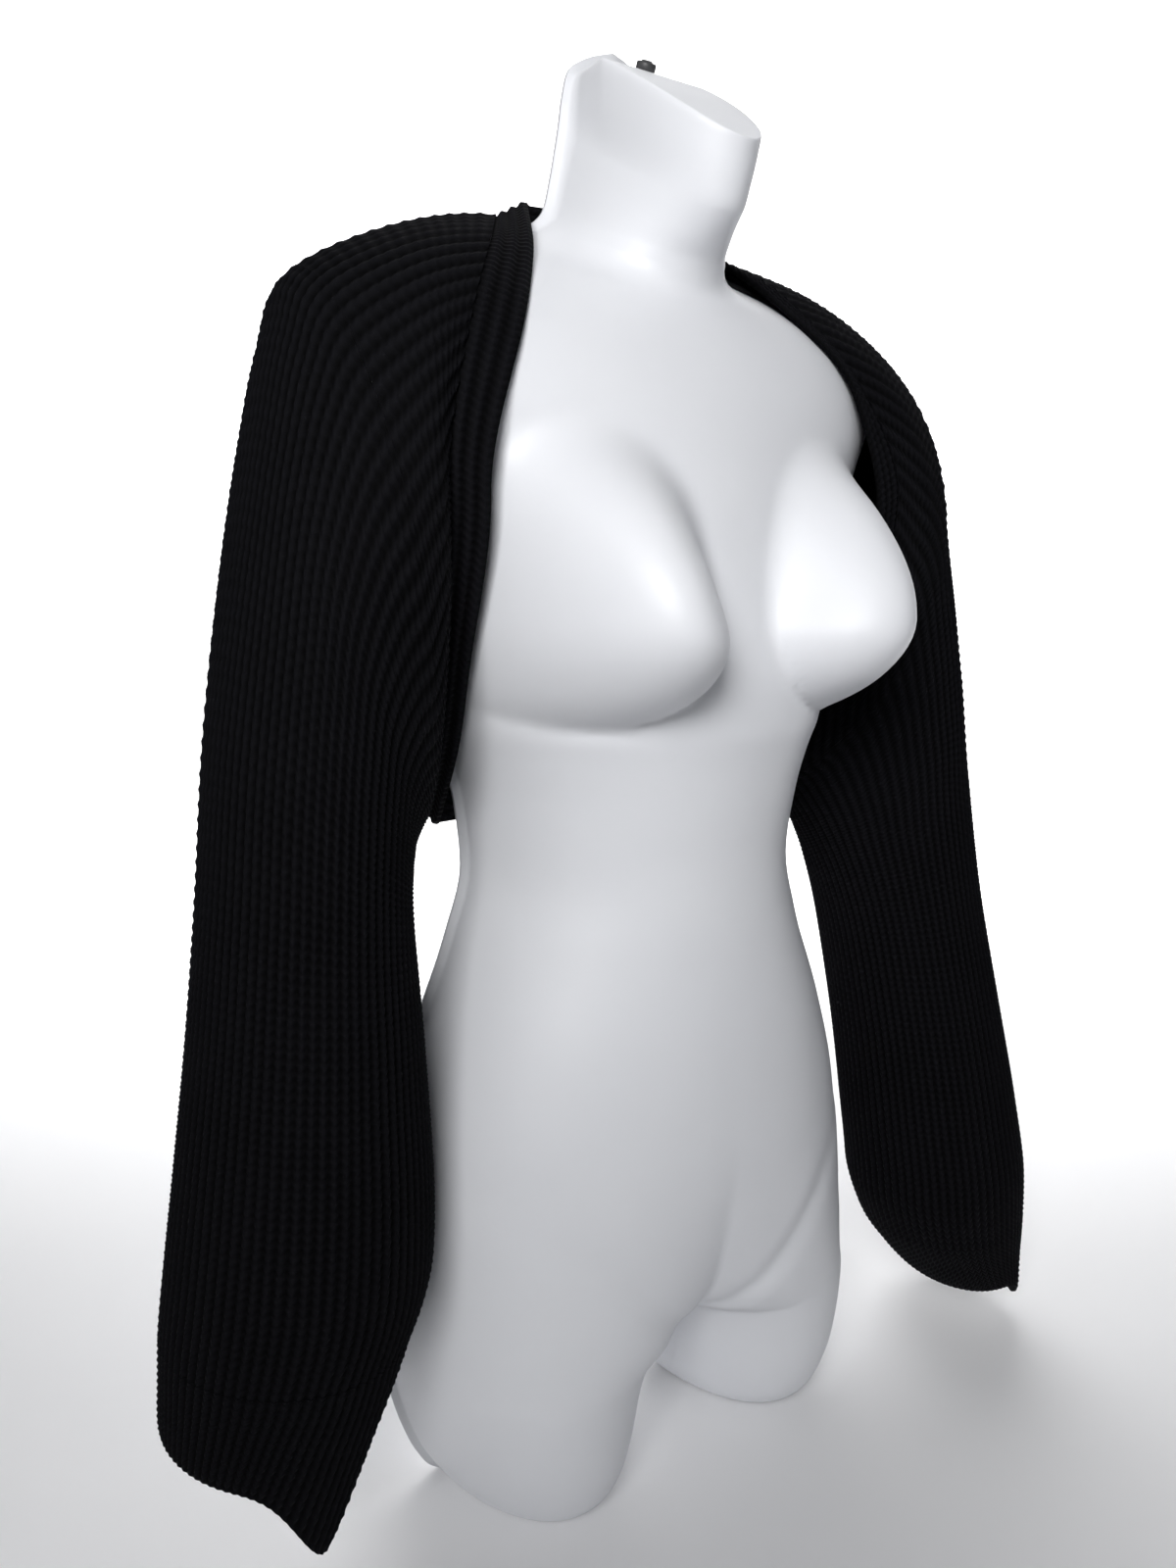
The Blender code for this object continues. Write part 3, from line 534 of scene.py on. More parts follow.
def middle_line(turn):
    """The middle of the back, from the neck band to the hem band."""
    down = (360.0 - np.asarray(turn, float)) / 180.0
    up = BACK_TOP_UP + (BACK_HEM_UP - BACK_TOP_UP) * down
    forward = BACK_TOP_FORWARD + (BACK_HEM_FORWARD - BACK_TOP_FORWARD) * down
    forward = forward - MIDDLE_BULGE * 4 * down * (1 - down)
    return np.stack(np.broadcast_arrays(0.0 * up, forward, up), -1)


def halfway(inner, outer, turn):
    """The line halfway over the shoulder, a little proud of the straight one."""
    angle = np.radians(turn)
    middle = (inner + outer) / 2
    middle[..., 1] += FRONT_PROUD * np.sin(angle)
    middle[..., 2] += SHOULDER_PROUD * np.clip(np.cos(angle), 0, 1)
    return middle


def skin(place, turn, side, part):
    """A point of the shrug's inner face.

    place runs from -1 at the middle of the back, or -BAND_PLACE at the band's free edge in front, through 0
    at the band seam and 2 at the armhole to the cuff's end; turn runs from the shoulder top over the front
    to the underarm at 180 and up the back to 360. part is "front", "back" or "sleeve".
    """
    place, turn = np.broadcast_arrays(np.asarray(place, float), np.asarray(turn, float))
    if part == "sleeve":
        in_front = (turn % 360 <= 180)[..., None]
        front, back = (skin(place, turn % 360, side, half) for half in ("front", "back"))
        return np.where(in_front, front, back)
    at = place[..., None]
    armhole = ring_point(0.0, turn, side)
    next_ring = ring_point(1.0, turn, side)
    if part == "front":
        inner = edge_point("seam", np.clip(turn, 0, 180), HANG[side]["inward"])
        free = edge_point("edge", np.clip(turn, 0, 180), HANG[side]["inward"])
        at_end = np.cos(np.radians(turn))[..., None] ** 2
        ends = np.where((turn < 90)[..., None], middle_line(360.0), middle_line(180.0))
        before = at_end * ends + (1 - at_end) * free
        halfway_line = halfway(inner, armhole, turn)
        start = inner + (free - inner) * (-at / BAND_PLACE)
    else:
        inner = back_line(turn)
        before = middle_line(turn)
        halfway_line = halfway(inner, armhole, turn)
        other_side = inner * MIRROR
        start = through(other_side, before, inner, halfway_line, at + 1)
    reach = size(halfway_line - inner) / (size(before - inner) + MERGE)
    near = inner + (before - inner) * np.minimum(1.0, reach)
    first = through(near, inner, halfway_line, armhole, at)
    second = through(inner, halfway_line, armhole, next_ring, at - 1)
    third = through(halfway_line, armhole, next_ring, ring_point(2.0, turn, side), at - 2)
    sleeve = ring_point(np.clip(place - 2, 0, None), turn, side)
    point = np.where(at < 0, start, first)
    point = np.where(at >= 1, second, point)
    point = np.where(at >= 2, third, point)
    return np.where(at >= 3, sleeve, point)


def to_world(point, side):
    """From out, forward and up to the part's own axes, before the whole part is centred."""
    return point * np.array([SIDES[side], -1.0, 1.0])


def skin_normals(place, turn, side, part):
    """Outward directions of the skin, from points a little before and after each one."""
    place, turn = np.broadcast_arrays(np.asarray(place, float), np.asarray(turn, float))
    low_turn, high_turn = turn - NORMAL_TURN, turn + NORMAL_TURN
    first, last = {"front": (0, 180), "back": (180, 360), "sleeve": (-360, 720)}[part]
    after = skin(place, np.minimum(high_turn, last), side, part)
    across = after - skin(place, np.maximum(low_turn, first), side, part)
    if part != "sleeve":
        whole = skin(place, high_turn, side, "sleeve") - skin(place, low_turn, side, "sleeve")
        across = np.where((place >= 2)[..., None], whole, across)
    along = skin(place + NORMAL_PLACE, turn, side, part) - skin(place - NORMAL_PLACE, turn, side, part)
    return to_world(unit(np.cross(along, across)), side)


# Meshes


def grid_quads(rows, columns, wrap_columns=False, wrap_rows=False):
    """Quads over a grid of points numbered row by row, joined round where it is closed."""
    row = np.arange(rows if wrap_rows else rows - 1)[:, None]
    column = np.arange(columns if wrap_columns else columns - 1)[None]
    next_row = (row + 1) % rows * columns
    next_column = (column + 1) % columns
    quad = np.broadcast_arrays(
        row * columns + column, row * columns + next_column, next_row + next_column, next_row + column
    )
    return np.stack(quad, -1).reshape(-1, 4)


def add_mesh(name, points, quads, uv=None, triangles=None, rim=None):
    """A mesh object from whole arrays of points and faces and, if given, one map place for each point.

    rim marks the points of an edge where the outer face folds over; such edges are shaded sharp.
    """
    mesh = bpy.data.meshes.new(name)
    placed = np.asarray(points, float).reshape(-1, 3) + np.array([0.0, SHIFT_Y, 0.0])
    triangles = np.empty((0, 3), int) if triangles is None else triangles
    corners = np.concatenate([quads.ravel(), triangles.ravel()])
    starts = np.concatenate([np.arange(len(quads)) * 4, quads.size + np.arange(len(triangles)) * 3])
    mesh.vertices.add(len(placed))
    mesh.vertices.foreach_set("co", placed.ravel())
    mesh.loops.add(len(corners))
    mesh.loops.foreach_set("vertex_index", corners)
    mesh.polygons.add(len(starts))
    mesh.polygons.foreach_set("loop_start", starts)
    mesh.update(calc_edges=True)
    if uv is not None:
        layer = mesh.uv_layers.new(name="knit")
        layer.data.foreach_set("uv", uv.reshape(-1, 2)[corners].ravel())
    mesh.shade_smooth()
    if rim is not None:
        ends = np.empty(len(mesh.edges) * 2, np.int32)
        mesh.edges.foreach_get("vertices", ends)
        sharp = mesh.attributes.new("sharp_edge", "BOOLEAN", "EDGE")
        sharp.data.foreach_set("value", rim.ravel()[ends.reshape(-1, 2)].all(1))
    obj = bpy.data.objects.new(name, mesh)
    bpy.context.scene.collection.objects.link(obj)
    return obj


def rib_relief(rib, stitch, settings):
    """Stand-off of the knit: a round rib for each whole number of rib, with a bead for each stitch whose
    sides lag behind its middle, as the two legs of a stitch do."""
    aside = np.abs(rib - np.floor(rib) - 0.5) * 2
    crest = (0.5 + 0.5 * np.cos(np.pi * aside)) ** CREST_FULLNESS
    bead = 0.5 + 0.5 * np.cos(2 * np.pi * (stitch + STITCH_LAG * aside))
    share = BEAD_BETWEEN + (1 - BEAD_BETWEEN) * crest
    return settings.rib_height * crest + settings.stitch_height * bead * share


def easing(rows, open_end):
    """Share of the relief that each row keeps: at an open end the last few stitches draw in."""
    if not open_end:
        return np.ones((rows, 1))
    left = np.arange(rows - 1, -1, -1)[:, None] / STITCH_ROWS
    return 1 - END_EASE * np.exp(-left)


def facing(base, normal):
    """Whether quads of a grid, taken row by row, face along the given normals."""
    along = base[1:, :-1] - base[:-1, :-1]
    across = base[:-1, 1:] - base[:-1, :-1]
    return (np.cross(across, along) * normal[:-1, :-1]).sum() > 0


def cloth(name, base, normal, rib, stitch, settings, wrap, open_end=False):
    """A closed wall of knit: the outer face with its relief, then the plain inner face on every few rows.

    Rows run along the ribs and columns across them. The two faces join at the first and last row and, where
    the piece isn't a tube, by a strip at each side.
    """
    rows, columns = base.shape[:2]
    rise = INNER_WALL + rib_relief(rib, stitch, settings) * easing(rows, open_end)
    outer = base + normal * rise[..., None]
    inner_rows = np.unique(np.append(np.arange(0, rows, INNER_STEPS), rows - 1))[::-1]
    points = np.concatenate([outer, base[inner_rows]])
    coordinates = np.stack(np.broadcast_arrays(rib, stitch), -1)
    coordinates = np.concatenate([coordinates, coordinates[inner_rows]])
    quads = grid_quads(len(points), columns, wrap_columns=wrap, wrap_rows=True)
    triangles = np.empty((0, 3), int)
    if not wrap:
        strips, triangles = side_strips(rows, columns, inner_rows)
        quads = np.concatenate([quads, strips])
    if not facing(base, normal):
        quads, triangles = quads[:, ::-1], triangles[:, ::-1]
    rim = np.zeros(points.shape[:2], bool)
    rim[[0, rows - 1]] = True
    if not wrap:
        rim[:rows, [0, -1]] = True
    return add_mesh(name, points, quads, coordinates, triangles, rim)


def side_strips(rows, columns, inner_rows):
    """Quads and triangles from each side edge of the outer face to that of the coarser inner face."""
    partner = rows + len(inner_rows) - np.searchsorted(inner_rows[::-1], np.arange(rows), side="right")
    wide = partner[:-1] != partner[1:]
    quads, triangles = [], []
    for column, order in ((0, 1), (columns - 1, -1)):
        one = np.arange(rows - 1) * columns + column
        near, after = partner[:-1] * columns + column, partner[1:] * columns + column
        strip = np.stack([one, one + columns, after, near], -1)
        quads.append(strip[wide][:, ::order])
        triangles.append(strip[~wide][:, :3][:, ::order])
    return np.concatenate(quads), np.concatenate(triangles)


def lengths_along(base):
    """Length from the first row to each row, averaged over the columns."""
    step = np.linalg.norm(np.diff(base, axis=0), axis=-1).mean(1)
    return np.concatenate([[0.0], np.cumsum(step)])


def even_places(first, last, side, part, turns):
    """Places from first to last whose rows lie a third of a stitch apart along the cloth."""
    coarse = np.linspace(first, last, COARSE_PLACES)[:, None]
    length = lengths_along(skin(coarse, turns[None], side, part))
    rows = max(4, int(round(length[-1] / STITCH_LENGTH * STITCH_ROWS)))
    return np.interp(np.linspace(0, length[-1], rows + 1), length, coarse[:, 0])


def pull_in(base, axis, first, last):
    """Moves the ends of a grid back from its seams, along the cloth, by half of the seam gap."""
    base = np.moveaxis(base, axis, 0).copy()
    if first:
        base[0] += unit(base[1] - base[0]) * SEAM / 2
    if last:
        base[-1] += unit(base[-2] - base[-1]) * SEAM / 2
    return np.moveaxis(base, 0, axis)


# Materials


def new_material(name, look):
    """A node material whose shader has the values of a table of looks."""
    material = bpy.data.materials.new(name)
    material.use_nodes = True
    nodes, links = material.node_tree.nodes, material.node_tree.links
    for label, value in look.items():
        nodes["Principled BSDF"].inputs[label].default_value = value
    return nodes, links


def math_node(nodes, links, operation, first, second=0.0, third=None):
    """A Math node; each input is a number or another node's output."""
    node = nodes.new("ShaderNodeMath")
    node.operation = operation
    for number, value in enumerate((first, second, third)):
        if value is None:
            continue
        if hasattr(value, "links"):
            links.new(value, node.inputs[number])
        else:
            node.inputs[number].default_value = value
    return node.outputs[0]


def noise_node(nodes, links, scale, detail=2.0, roughness=0.5):
    """A Noise Texture over the object's own axes."""
    coords = nodes.new("ShaderNodeTexCoord")
    noise = nodes.new("ShaderNodeTexNoise")
    noise.inputs["Scale"].default_value = scale
    noise.inputs["Detail"].default_value = detail
    noise.inputs["Roughness"].default_value = roughness
    links.new(coords.outputs["Object"], noise.inputs["Vector"])
    return noise.outputs[0]


def bump_node(nodes, links, height, strength, distance):
    """A Bump that gives the shader its Normal."""
    bump = nodes.new("ShaderNodeBump")
    bump.inputs["Strength"].default_value = strength
    bump.inputs["Distance"].default_value = distance
    links.new(height, bump.inputs["Height"])
    links.new(bump.outputs[0], nodes["Principled BSDF"].inputs["Normal"])


def ramp_node(nodes, links, level, low, high, spread=(0.0, 1.0)):
    """A Color Ramp between two colours that gives the shader its Base Color."""
    ramp = nodes.new("ShaderNodeValToRGB")
    for end, place, colour in zip(ramp.color_ramp.elements, spread, (low, high)):
        end.position = place
        end.color = colour
    links.new(level, ramp.inputs[0])
    links.new(ramp.outputs[0], nodes["Principled BSDF"].inputs["Base Color"])


def shaded(colour, shade):
    """A colour made darker by a share for each channel."""
    return tuple(part * share for part, share in zip(colour, shade)) + (1.0,)


def knit_material(settings):
    """Matt black yarn: each stitch is two plied legs in a V, by waves on the rib and stitch numbers. Its
    colour has painted light on the rib crests and stitch legs and painted shade between them.
    """
    nodes, links = new_material("black_yarn", YARN_LOOK)

    def maths(operation, first, second=0.0, third=None):
        return math_node(nodes, links, operation, first, second, third)

    uv = nodes.new("ShaderNodeUVMap")
    uv.uv_map = "knit"
    split = nodes.new("ShaderNodeSeparateXYZ")
    links.new(uv.outputs["UV"], split.inputs[0])
    rib, stitch = split.outputs[0], split.outputs[1]
    inside = maths("SUBTRACT", maths("FRACT", rib), 0.5)
    aside = maths("MULTIPLY", maths("ABSOLUTE", inside), 2.0)
    lagged = maths("MULTIPLY_ADD", aside, LEG_LAG, stitch)
    leg = maths("COSINE", maths("MULTIPLY", lagged, 2 * math.pi))
    furrow = maths("COSINE", maths("MULTIPLY", aside, 2 * math.pi))
    crest = maths("COSINE", maths("MULTIPLY", aside, math.pi))
    fibre = noise_node(nodes, links, scale=1400.0, detail=3.0, roughness=0.65)
    cloud = noise_node(nodes, links, scale=22.0, detail=4.0)
    waves = {"leg": leg, "furrow": furrow, "crest": crest, "fibre": fibre, "cloud": cloud}
    height = 0.0
    for name, share in YARN_HEIGHTS.items():
        height = maths("MULTIPLY_ADD", waves[name], share, height)
    bump_node(nodes, links, height, strength=0.75, distance=0.0004)
    # Painted light and shade: the colour is lighter on the rib crests and stitch legs and darker between
    # them; fibre and cloud add random tone.
    level = YARN_GROUND
    for name, share in YARN_TONE_AND_PAINTED_LIGHT.items():
        level = maths("MULTIPLY_ADD", waves[name], share, level)
    ramp_node(nodes, links, level, settings.painted_shade_colour, settings.yarn_colour)


def form_material(settings):
    """White moulded plastic with a satin skin: faint clouding, fine orange peel, and gloss that varies."""
    nodes, links = new_material("satin_white_plastic", FORM_LOOK)
    base = settings.plastic_colour
    cloud = noise_node(nodes, links, scale=9.0, detail=5.0)
    ramp_node(nodes, links, cloud, shaded(base, FORM_SHADE), base, spread=(0.3, 0.7))
    rough = nodes.new("ShaderNodeMapRange")
    rough.inputs["To Min"].default_value = settings.roughness - ROUGHNESS_BELOW
    rough.inputs["To Max"].default_value = settings.roughness + ROUGHNESS_ABOVE
    links.new(noise_node(nodes, links, scale=60.0, detail=6.0), rough.inputs["Value"])
    links.new(rough.outputs[0], nodes["Principled BSDF"].inputs["Roughness"])
    peel = noise_node(nodes, links, scale=420.0)
    bump_node(nodes, links, peel, strength=0.11, distance=0.0003)


def plug_material():
    """Dark matt plastic with faint scuffs."""
    nodes, links = new_material("matt_dark_plastic", PLUG_LOOK)
    scuff = noise_node(nodes, links, scale=300.0, detail=4.0)
    ramp_node(nodes, links, scuff, *PLUG_COLOURS)
    bump_node(nodes, links, scuff, strength=0.25, distance=0.0002)


def floor_material(settings):
    """Pale painted board with the faintest mottling."""
    nodes, links = new_material("pale_floor", FLOOR_LOOK)
    base = settings.floor_colour
    ramp_node(nodes, links, noise_node(nodes, links, scale=3.0), shaded(base, FLOOR_SHADE), base)


def finish_piece(obj, material_name, slot, *nodes):
    """Gives a piece its material and its body, and hides the CAD nodes that it stands for; slot is not used.
    """
    obj.data.materials.append(bpy.data.materials[material_name])
    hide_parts(*nodes)
    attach(obj, "root")


def knit_piece(name, node, base, normal, turn, settings, wrap, open_end=False):
    """A knit wall over a grid whose columns lie at the given turns, with its material and its node."""
    stitch = (np.arange(len(base)) / STITCH_ROWS)[:, None] + 0 * turn[None]
    rib = turn[None] / 360 * SLEEVE_RIBS + 0 * stitch
    obj = cloth(name, base, normal, rib, stitch, settings, wrap, open_end)
    finish_piece(obj, "black_yarn", "black_rib_knit", node)
    return obj


def tube(name, node, side, rings, settings):
    """A ribbed tube between two of the rings, with a row for each third of a stitch."""
    first_row, last_row = rings
    turn = np.linspace(0, 360, SLEEVE_RIBS * RIB_COLUMNS, endpoint=False)
    place = even_places(2 + first_row, 2 + last_row, side, "sleeve", turn)[:, None]
    base = to_world(skin(place, turn[None], side, "sleeve"), side)
    normal = skin_normals(place, turn[None], side, "sleeve")
    base = pull_in(base, 0, True, first_row == 0)
    return knit_piece(name, node, base, normal, turn, settings, True, first_row > 0)


# Operators


class SHRUG_OT_materials(bpy.types.Operator):
    """Make the knit, plastic, plug and floor materials"""

    bl_idname = "shrug.materials"
    bl_label = "Materials"

    def execute(self, context):
        knit_material(context.scene.shrug_knit)
        form_material(context.scene.shrug_form)
        plug_material()
        floor_material(context.scene.shrug_stage)
        return {"FINISHED"}


class SHRUG_OT_form(bpy.types.Operator):
    """Model the half-round dress form with its flange and thigh ends"""

    bl_idname = "shrug.form"
    bl_label = "Dress form"

    def execute(self, context):
        half = form_half()
        along = np.gradient(half[:, -1], axis=0)
        square = np.stack([along[:, 2], np.zeros(len(half)), -along[:, 0]], -1)
        square[-1] = (0.0, 0.0, 1.0)
        square[0] = SOLE_EDGE_WAY
        lip = half[:, -1] + unit(square) * FLANGE_WIDTH
        lip[:, 2] = np.maximum(lip[:, 2], 0.0)
        front = np.concatenate([half, lip[:, None]], 1)
        rows, columns = front.shape[:2]
        scale = np.linspace(1, 0, SOLE_ROWS)[:, None]
        sole = np.repeat(front[:1, :-1], SOLE_ROWS, 0)
        sole[..., 1] = -RIM + (sole[..., 1] + RIM) * scale
        sole_quads = grid_quads(SOLE_ROWS, columns - 1)[:, ::-1] + rows * columns
        points = np.concatenate([front.reshape(-1, 3), sole.reshape(-1, 3)])
        quads = np.concatenate([grid_quads(rows, columns), sole_quads])
        mirrored = points * MIRROR
        quads = np.concatenate([quads, quads[:, ::-1] + len(points)])
        obj = add_mesh("form_shell", np.concatenate([points, mirrored]), quads)
        weld = obj.modifiers.new("Weld", "WELD")
        weld.merge_threshold = FORM_WELD
        wall = obj.modifiers.new("Wall", "SOLIDIFY")
        wall.thickness = FORM_WALL
        wall.offset = -1.0
        finish_piece(obj, "satin_white_plastic", "white_form_plastic", "dress_form")
        return {"FINISHED"}


class SHRUG_OT_plug(bpy.types.Operator):
    """Turn the small plug that stands on the slanted neck cap"""

    bl_idname = "shrug.plug"
    bl_label = "Neck plug"

    def execute(self, context):
        sides = context.scene.shrug_form.plug_sides
        angle = np.linspace(0, 2 * np.pi, sides, endpoint=False)[None]
        radius = np.array(PLUG_PROFILE["radius"])[:, None]
        height = np.array(PLUG_PROFILE["height"])[:, None] + PLUG_LIFT
        behind, before = cap_top(PLUG_FORWARD - PLUG_REACH), cap_top(PLUG_FORWARD + PLUG_REACH)
        tilt = math.atan2(behind - before, 2 * PLUG_REACH)
        cosine, sine = math.cos(tilt), math.sin(tilt)
        x, y, z = np.broadcast_arrays(radius * np.cos(angle), radius * np.sin(angle), height)
        points = np.stack([x, y * cosine - z * sine, y * sine + z * cosine], -1)
        points += np.array([0.0, -PLUG_FORWARD, (behind + before) / 2])
        obj = add_mesh("plug", points, grid_quads(*points.shape[:2], wrap_columns=True))
        weld = obj.modifiers.new("Weld", "WELD")
        weld.merge_threshold = PLUG_WELD
        finish_piece(obj, "matt_dark_plastic", "dark_plug_plastic", "neck_plug")
        return {"FINISHED"}


class SHRUG_OT_back(bpy.types.Operator):
    """Knit the back panel, its ribs lying across from armhole to armhole"""

    bl_idname = "shrug.back"
    bl_label = "Back"

    def execute(self, context):
        turn = np.linspace(360, 180, SLEEVE_RIBS // 2 * RIB_COLUMNS + 1)
        halves = []
        for side in SIDES:
            place = even_places(-1, 2, side, "back", turn)[:, None]
            half = to_world(skin(place, turn[None], side, "back"), side)
            halves.append((half, skin_normals(place, turn[None], side, "back")))
        base, normal = (np.concatenate([right[::-1], left[1:]]) for right, left in zip(*halves))
        base = pull_in(pull_in(base, 0, True, True), 1, True, True)
        obj = knit_piece("back_panel", "back", base, normal, turn, context.scene.shrug_knit, False)
        return {"FINISHED"}


class SHRUG_OT_fronts(bpy.types.Operator):
    """Knit the two short fronts"""

    bl_idname = "shrug.fronts"
    bl_label = "Fronts"

    def execute(self, context):
        settings = context.scene.shrug_knit
        turn = np.linspace(0, 180, SLEEVE_RIBS // 2 * RIB_COLUMNS + 1)
        for side in SIDES:
            place = even_places(0, 2, side, "front", turn)[:, None]
            base = clear_of_form(to_world(skin(place, turn[None], side, "front"), side))
            normal = skin_normals(place, turn[None], side, "front")
            base = pull_in(pull_in(base, 0, True, True), 1, True, True)
            name, node = f"{side}_front_panel", f"{side}_front"
            obj = knit_piece(name, node, base, normal, turn, settings, False)
        return {"FINISHED"}


class SHRUG_OT_sleeves(bpy.types.Operator):
    """Knit the two sleeves as tubes from the armhole to the cuff seam"""

    bl_idname = "shrug.sleeves"
    bl_label = "Sleeves"

    def execute(self, context):
        rings = (0, CUFF_ROW)
        for side in SIDES:
            obj = tube(f"{side}_sleeve_tube", f"{side}_sleeve", side, rings, context.scene.shrug_knit)
        return {"FINISHED"}


class SHRUG_OT_cuffs(bpy.types.Operator):
    """Knit the two cuffs, the narrower ends of the sleeves"""

    bl_idname = "shrug.cuffs"
    bl_label = "Cuffs"

    def execute(self, context):
        rings = (CUFF_ROW, len(RING_TABLE["top up"]) - 1)
        for side in SIDES:
            obj = tube(f"{side}_cuff_tube", f"{side}_cuff", side, rings, context.scene.shrug_knit)
        return {"FINISHED"}


class SHRUG_OT_band(bpy.types.Operator):
    """Knit the border band, one strip round the whole opening with its wales along its length"""

    bl_idname = "shrug.band"
    bl_label = "Border band"

    def execute(self, context):
        settings = context.scene.shrug_knit
        counts = {name: int(run / (STITCH_LENGTH / STITCH_ROWS)) for name, run in BAND_RUNS.items()}
        neck = np.linspace(-1, 0, counts["neck"])[:-1]
        front = np.linspace(0, 180, counts["front"])
        hem = np.linspace(0, -1, counts["hem"])[1:]
        runs = ((neck, 360.0, "back"), (0.0, front, "front"), (hem, 180.0, "back"))
        neck_part, hem_part = (neck + 1)[:, None], (hem + 1)[:, None]
        neck_middle = middle_line(360.0) + np.array([0, 0, BAND_WIDTH])
        hem_middle = middle_line(180.0) - np.array([0, 0, BAND_WIDTH])
        free_edge = np.concatenate(
            [
                neck_middle * (1 - neck_part) + edge_point("edge", 0.0) * neck_part,
                edge_point("edge", front),
                hem_middle * (1 - hem_part) + edge_point("edge", 180.0) * hem_part,
            ]
        )
        halves = []
        for side in SIDES:
            seam = np.concatenate([skin(place, turn, side, part) for place, turn, part in runs])
            normal = np.concatenate([skin_normals(place, turn, side, part) for place, turn, part in runs])
            halves.append((to_world(seam, side), to_world(free_edge, side), normal))
        seam, edge, normal = (np.concatenate([one, other[1:-1][::-1]]) for one, other in zip(*halves))
        across = np.linspace(0, 1, BAND_WALES * BAND_COLUMNS + 1)[None, :, None]
        base = clear_of_form(seam[:, None] * (1 - across) + edge[:, None] * across)
        base = pull_in(base, 1, True, False)
        ring = np.roll(base, -1, 0) - np.roll(base, 1, 0)
        own = unit(np.cross(ring, np.gradient(base, axis=1)))
        own *= np.sign((own * normal[:, None]).sum(-1, keepdims=True))
        blended = unit(normal[:, None] * (1 - across) + own * across)
        stitch = (np.arange(len(base)) / STITCH_ROWS)[:, None] + 0 * across[..., 0]
        rib = across[..., 0] * BAND_WALES + 0 * stitch
        rise = INNER_WALL + rib_relief(rib, stitch, settings)
        points = np.concatenate([base + blended * rise[..., None], base[:, ::-BAND_INNER_STEPS]], 1)
        coordinates = np.stack([rib, stitch], -1)
        coordinates = np.concatenate([coordinates, coordinates[:, ::-BAND_INNER_STEPS]], 1)
        quads = grid_quads(*points.shape[:2], wrap_columns=True, wrap_rows=True)
        quads = quads if facing(base, blended) else quads[:, ::-1]
        obj = add_mesh("band_strip", points, quads, coordinates)
        finish_piece(obj, "black_yarn", "black_rib_knit", "border_band")
        return {"FINISHED"}


def add_light(name, place, aim, size, power, spread=180.0):
    """A soft square light at a place, turned to its aim and fanning out by its spread in degrees."""
    light = bpy.data.lights.new(name, "AREA")
    light.energy = power
    light.size = size
    light.spread = math.radians(spread)
    lamp = bpy.data.objects.new(name, light)
    lamp.location = place
    lamp.rotation_euler = (Vector(aim) - Vector(place)).to_track_quat("-Z", "Y").to_euler()
    bpy.context.scene.collection.objects.link(lamp)


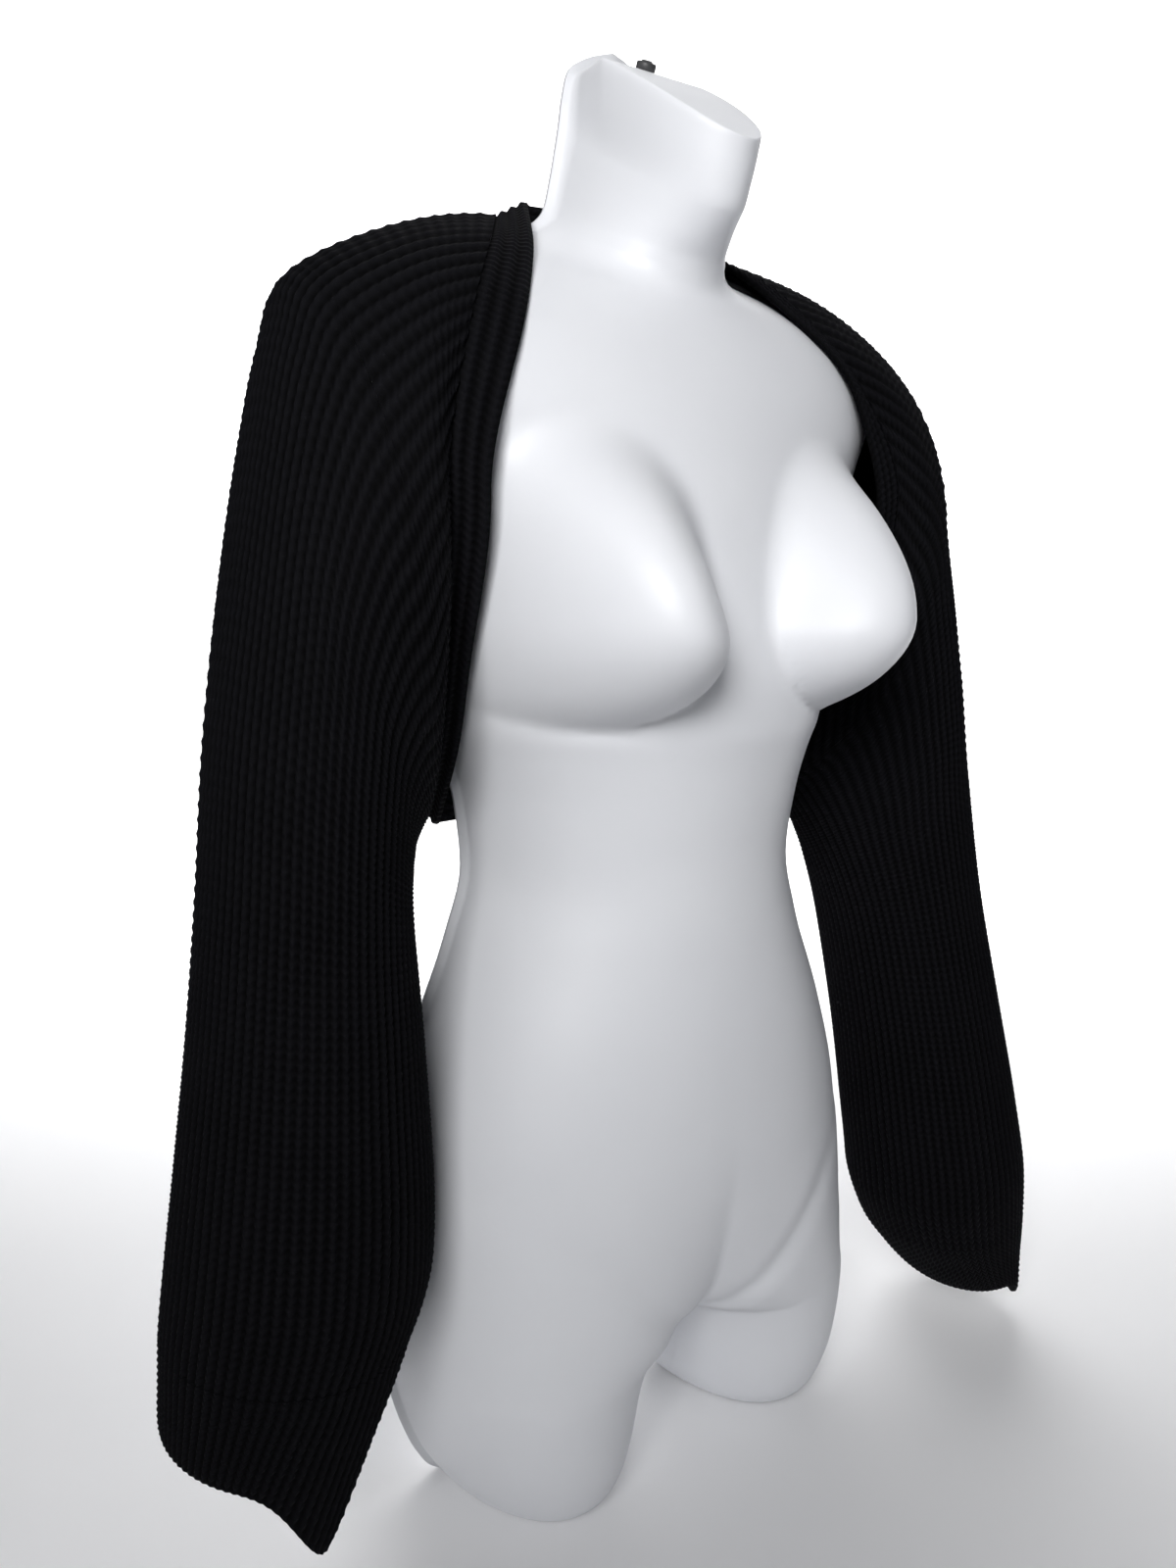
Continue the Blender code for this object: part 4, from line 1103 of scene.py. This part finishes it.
class SHRUG_OT_stage(bpy.types.Operator):
    """Set the pale floor with its backdrop, the soft lights and the camera"""

    bl_idname = "shrug.stage"
    bl_label = "Stage"

    def execute(self, context):
        scene = context.scene
        settings = scene.shrug_stage
        run = np.linspace(-FLOOR_SPAN, WALL_AHEAD, FLOOR_ROWS)
        curve = np.linspace(0, np.pi / 2, CORNER_ROWS)[1:]
        line = np.concatenate(
            [
                np.stack([run, 0 * run], -1),
                np.stack([WALL_AHEAD + np.sin(curve), 1 - np.cos(curve)], -1),
                np.array([[WALL_AHEAD + 1.0, WALL_TOP]]),
            ]
        )
        yaw = math.radians(CAMERA_YAW)
        sine, cosine = math.sin(yaw), math.cos(yaw)

        def place(ahead, up, aside=0.0):
            """Places by their distance the way that the camera looks, their height and their side."""
            x, y = ahead * sine + aside * cosine, ahead * cosine - aside * sine
            return np.stack(np.broadcast_arrays(x, y, up), -1)

        across = np.array([-FLOOR_SPAN, FLOOR_SPAN])
        points = place(line[:, :1], line[:, 1:], across[None])
        floor = add_mesh("floor", points, grid_quads(*points.shape[:2])[:, ::-1])
        floor.data.materials.append(bpy.data.materials["pale_floor"])
        add_light("key_light", KEY_PLACE, KEY_AIM, KEY_SIZE, settings.key_power, KEY_SPREAD)
        add_light("fill_light", FILL_PLACE, FILL_AIM, FILL_SIZE, settings.fill_power)
        for side in BACKDROP_SIDES:
            lamp = place(*BACKDROP_PLACE, side).tolist()
            aim = place(*BACKDROP_AIM, side * BACKDROP_FAN).tolist()
            add_light("backdrop_light", lamp, aim, BACKDROP_SIZE, settings.backdrop_power)
        lamp, aim = place(*FLOOR_LIGHT_PLACE).tolist(), place(*FLOOR_LIGHT_AIM).tolist()
        add_light("floor_light", lamp, aim, FLOOR_LIGHT_SIZE, settings.floor_power, FLOOR_LIGHT_SPREAD)
        world = bpy.data.worlds.new("studio")
        world.use_nodes = True
        nodes, links = world.node_tree.nodes, world.node_tree.links
        nodes["Background"].inputs["Color"].default_value = SKY_COLOUR
        seen = nodes.new("ShaderNodeLightPath").outputs["Is Camera Ray"]
        strength = math_node(nodes, links, "MULTIPLY_ADD", seen, SKY_SEEN - SKY_LIGHT, SKY_LIGHT)
        links.new(strength, nodes["Background"].inputs["Strength"])
        scene.world = world
        scene.view_settings.view_transform = "Standard"
        camera = bpy.data.cameras.new("camera")
        camera.lens = CAMERA_LENS
        camera.sensor_width = SENSOR
        view = bpy.data.objects.new("camera", camera)
        view.location = (CAMERA_PLACE[0], CAMERA_PLACE[1] + SHIFT_Y, CAMERA_PLACE[2])
        view.rotation_euler = (math.pi / 2 - math.radians(CAMERA_PITCH), 0.0, -yaw)
        scene.collection.objects.link(view)
        scene.camera = view
        return {"FINISHED"}


class SHRUG_PT_panel(bpy.types.Panel):
    """Lists the steps that build the shrug and its form"""

    bl_idname = "SHRUG_PT_panel"
    bl_label = "Knitted shrug"
    bl_space_type = "VIEW_3D"
    bl_region_type = "UI"
    bl_category = "Shrug"

    def draw(self, context):
        for key, group in GROUPS.items():
            for name in group.__annotations__:
                self.layout.prop(getattr(context.scene, key), name)
        for step in STEPS:
            self.layout.operator(step.bl_idname)


STEPS = (
    SHRUG_OT_materials,
    SHRUG_OT_form,
    SHRUG_OT_plug,
    SHRUG_OT_back,
    SHRUG_OT_fronts,
    SHRUG_OT_sleeves,
    SHRUG_OT_cuffs,
    SHRUG_OT_band,
    SHRUG_OT_stage,
)
GROUPS = {"shrug_knit": KnitSettings, "shrug_form": FormSettings, "shrug_stage": StageSettings}
CLASSES = (*GROUPS.values(), *STEPS, SHRUG_PT_panel)


def register():
    for each in CLASSES:
        bpy.utils.register_class(each)
    for name, group in GROUPS.items():
        setattr(bpy.types.Scene, name, PointerProperty(type=group))


def unregister():
    for name in GROUPS:
        delattr(bpy.types.Scene, name)
    for each in reversed(CLASSES):
        bpy.utils.unregister_class(each)


def main():
    register()
    bpy.ops.shrug.materials()
    bpy.ops.shrug.form()
    bpy.ops.shrug.plug()
    bpy.ops.shrug.back()
    bpy.ops.shrug.fronts()
    bpy.ops.shrug.sleeves()
    bpy.ops.shrug.cuffs()
    bpy.ops.shrug.band()
    bpy.ops.shrug.stage()


if __name__ == "__main__":
    main()
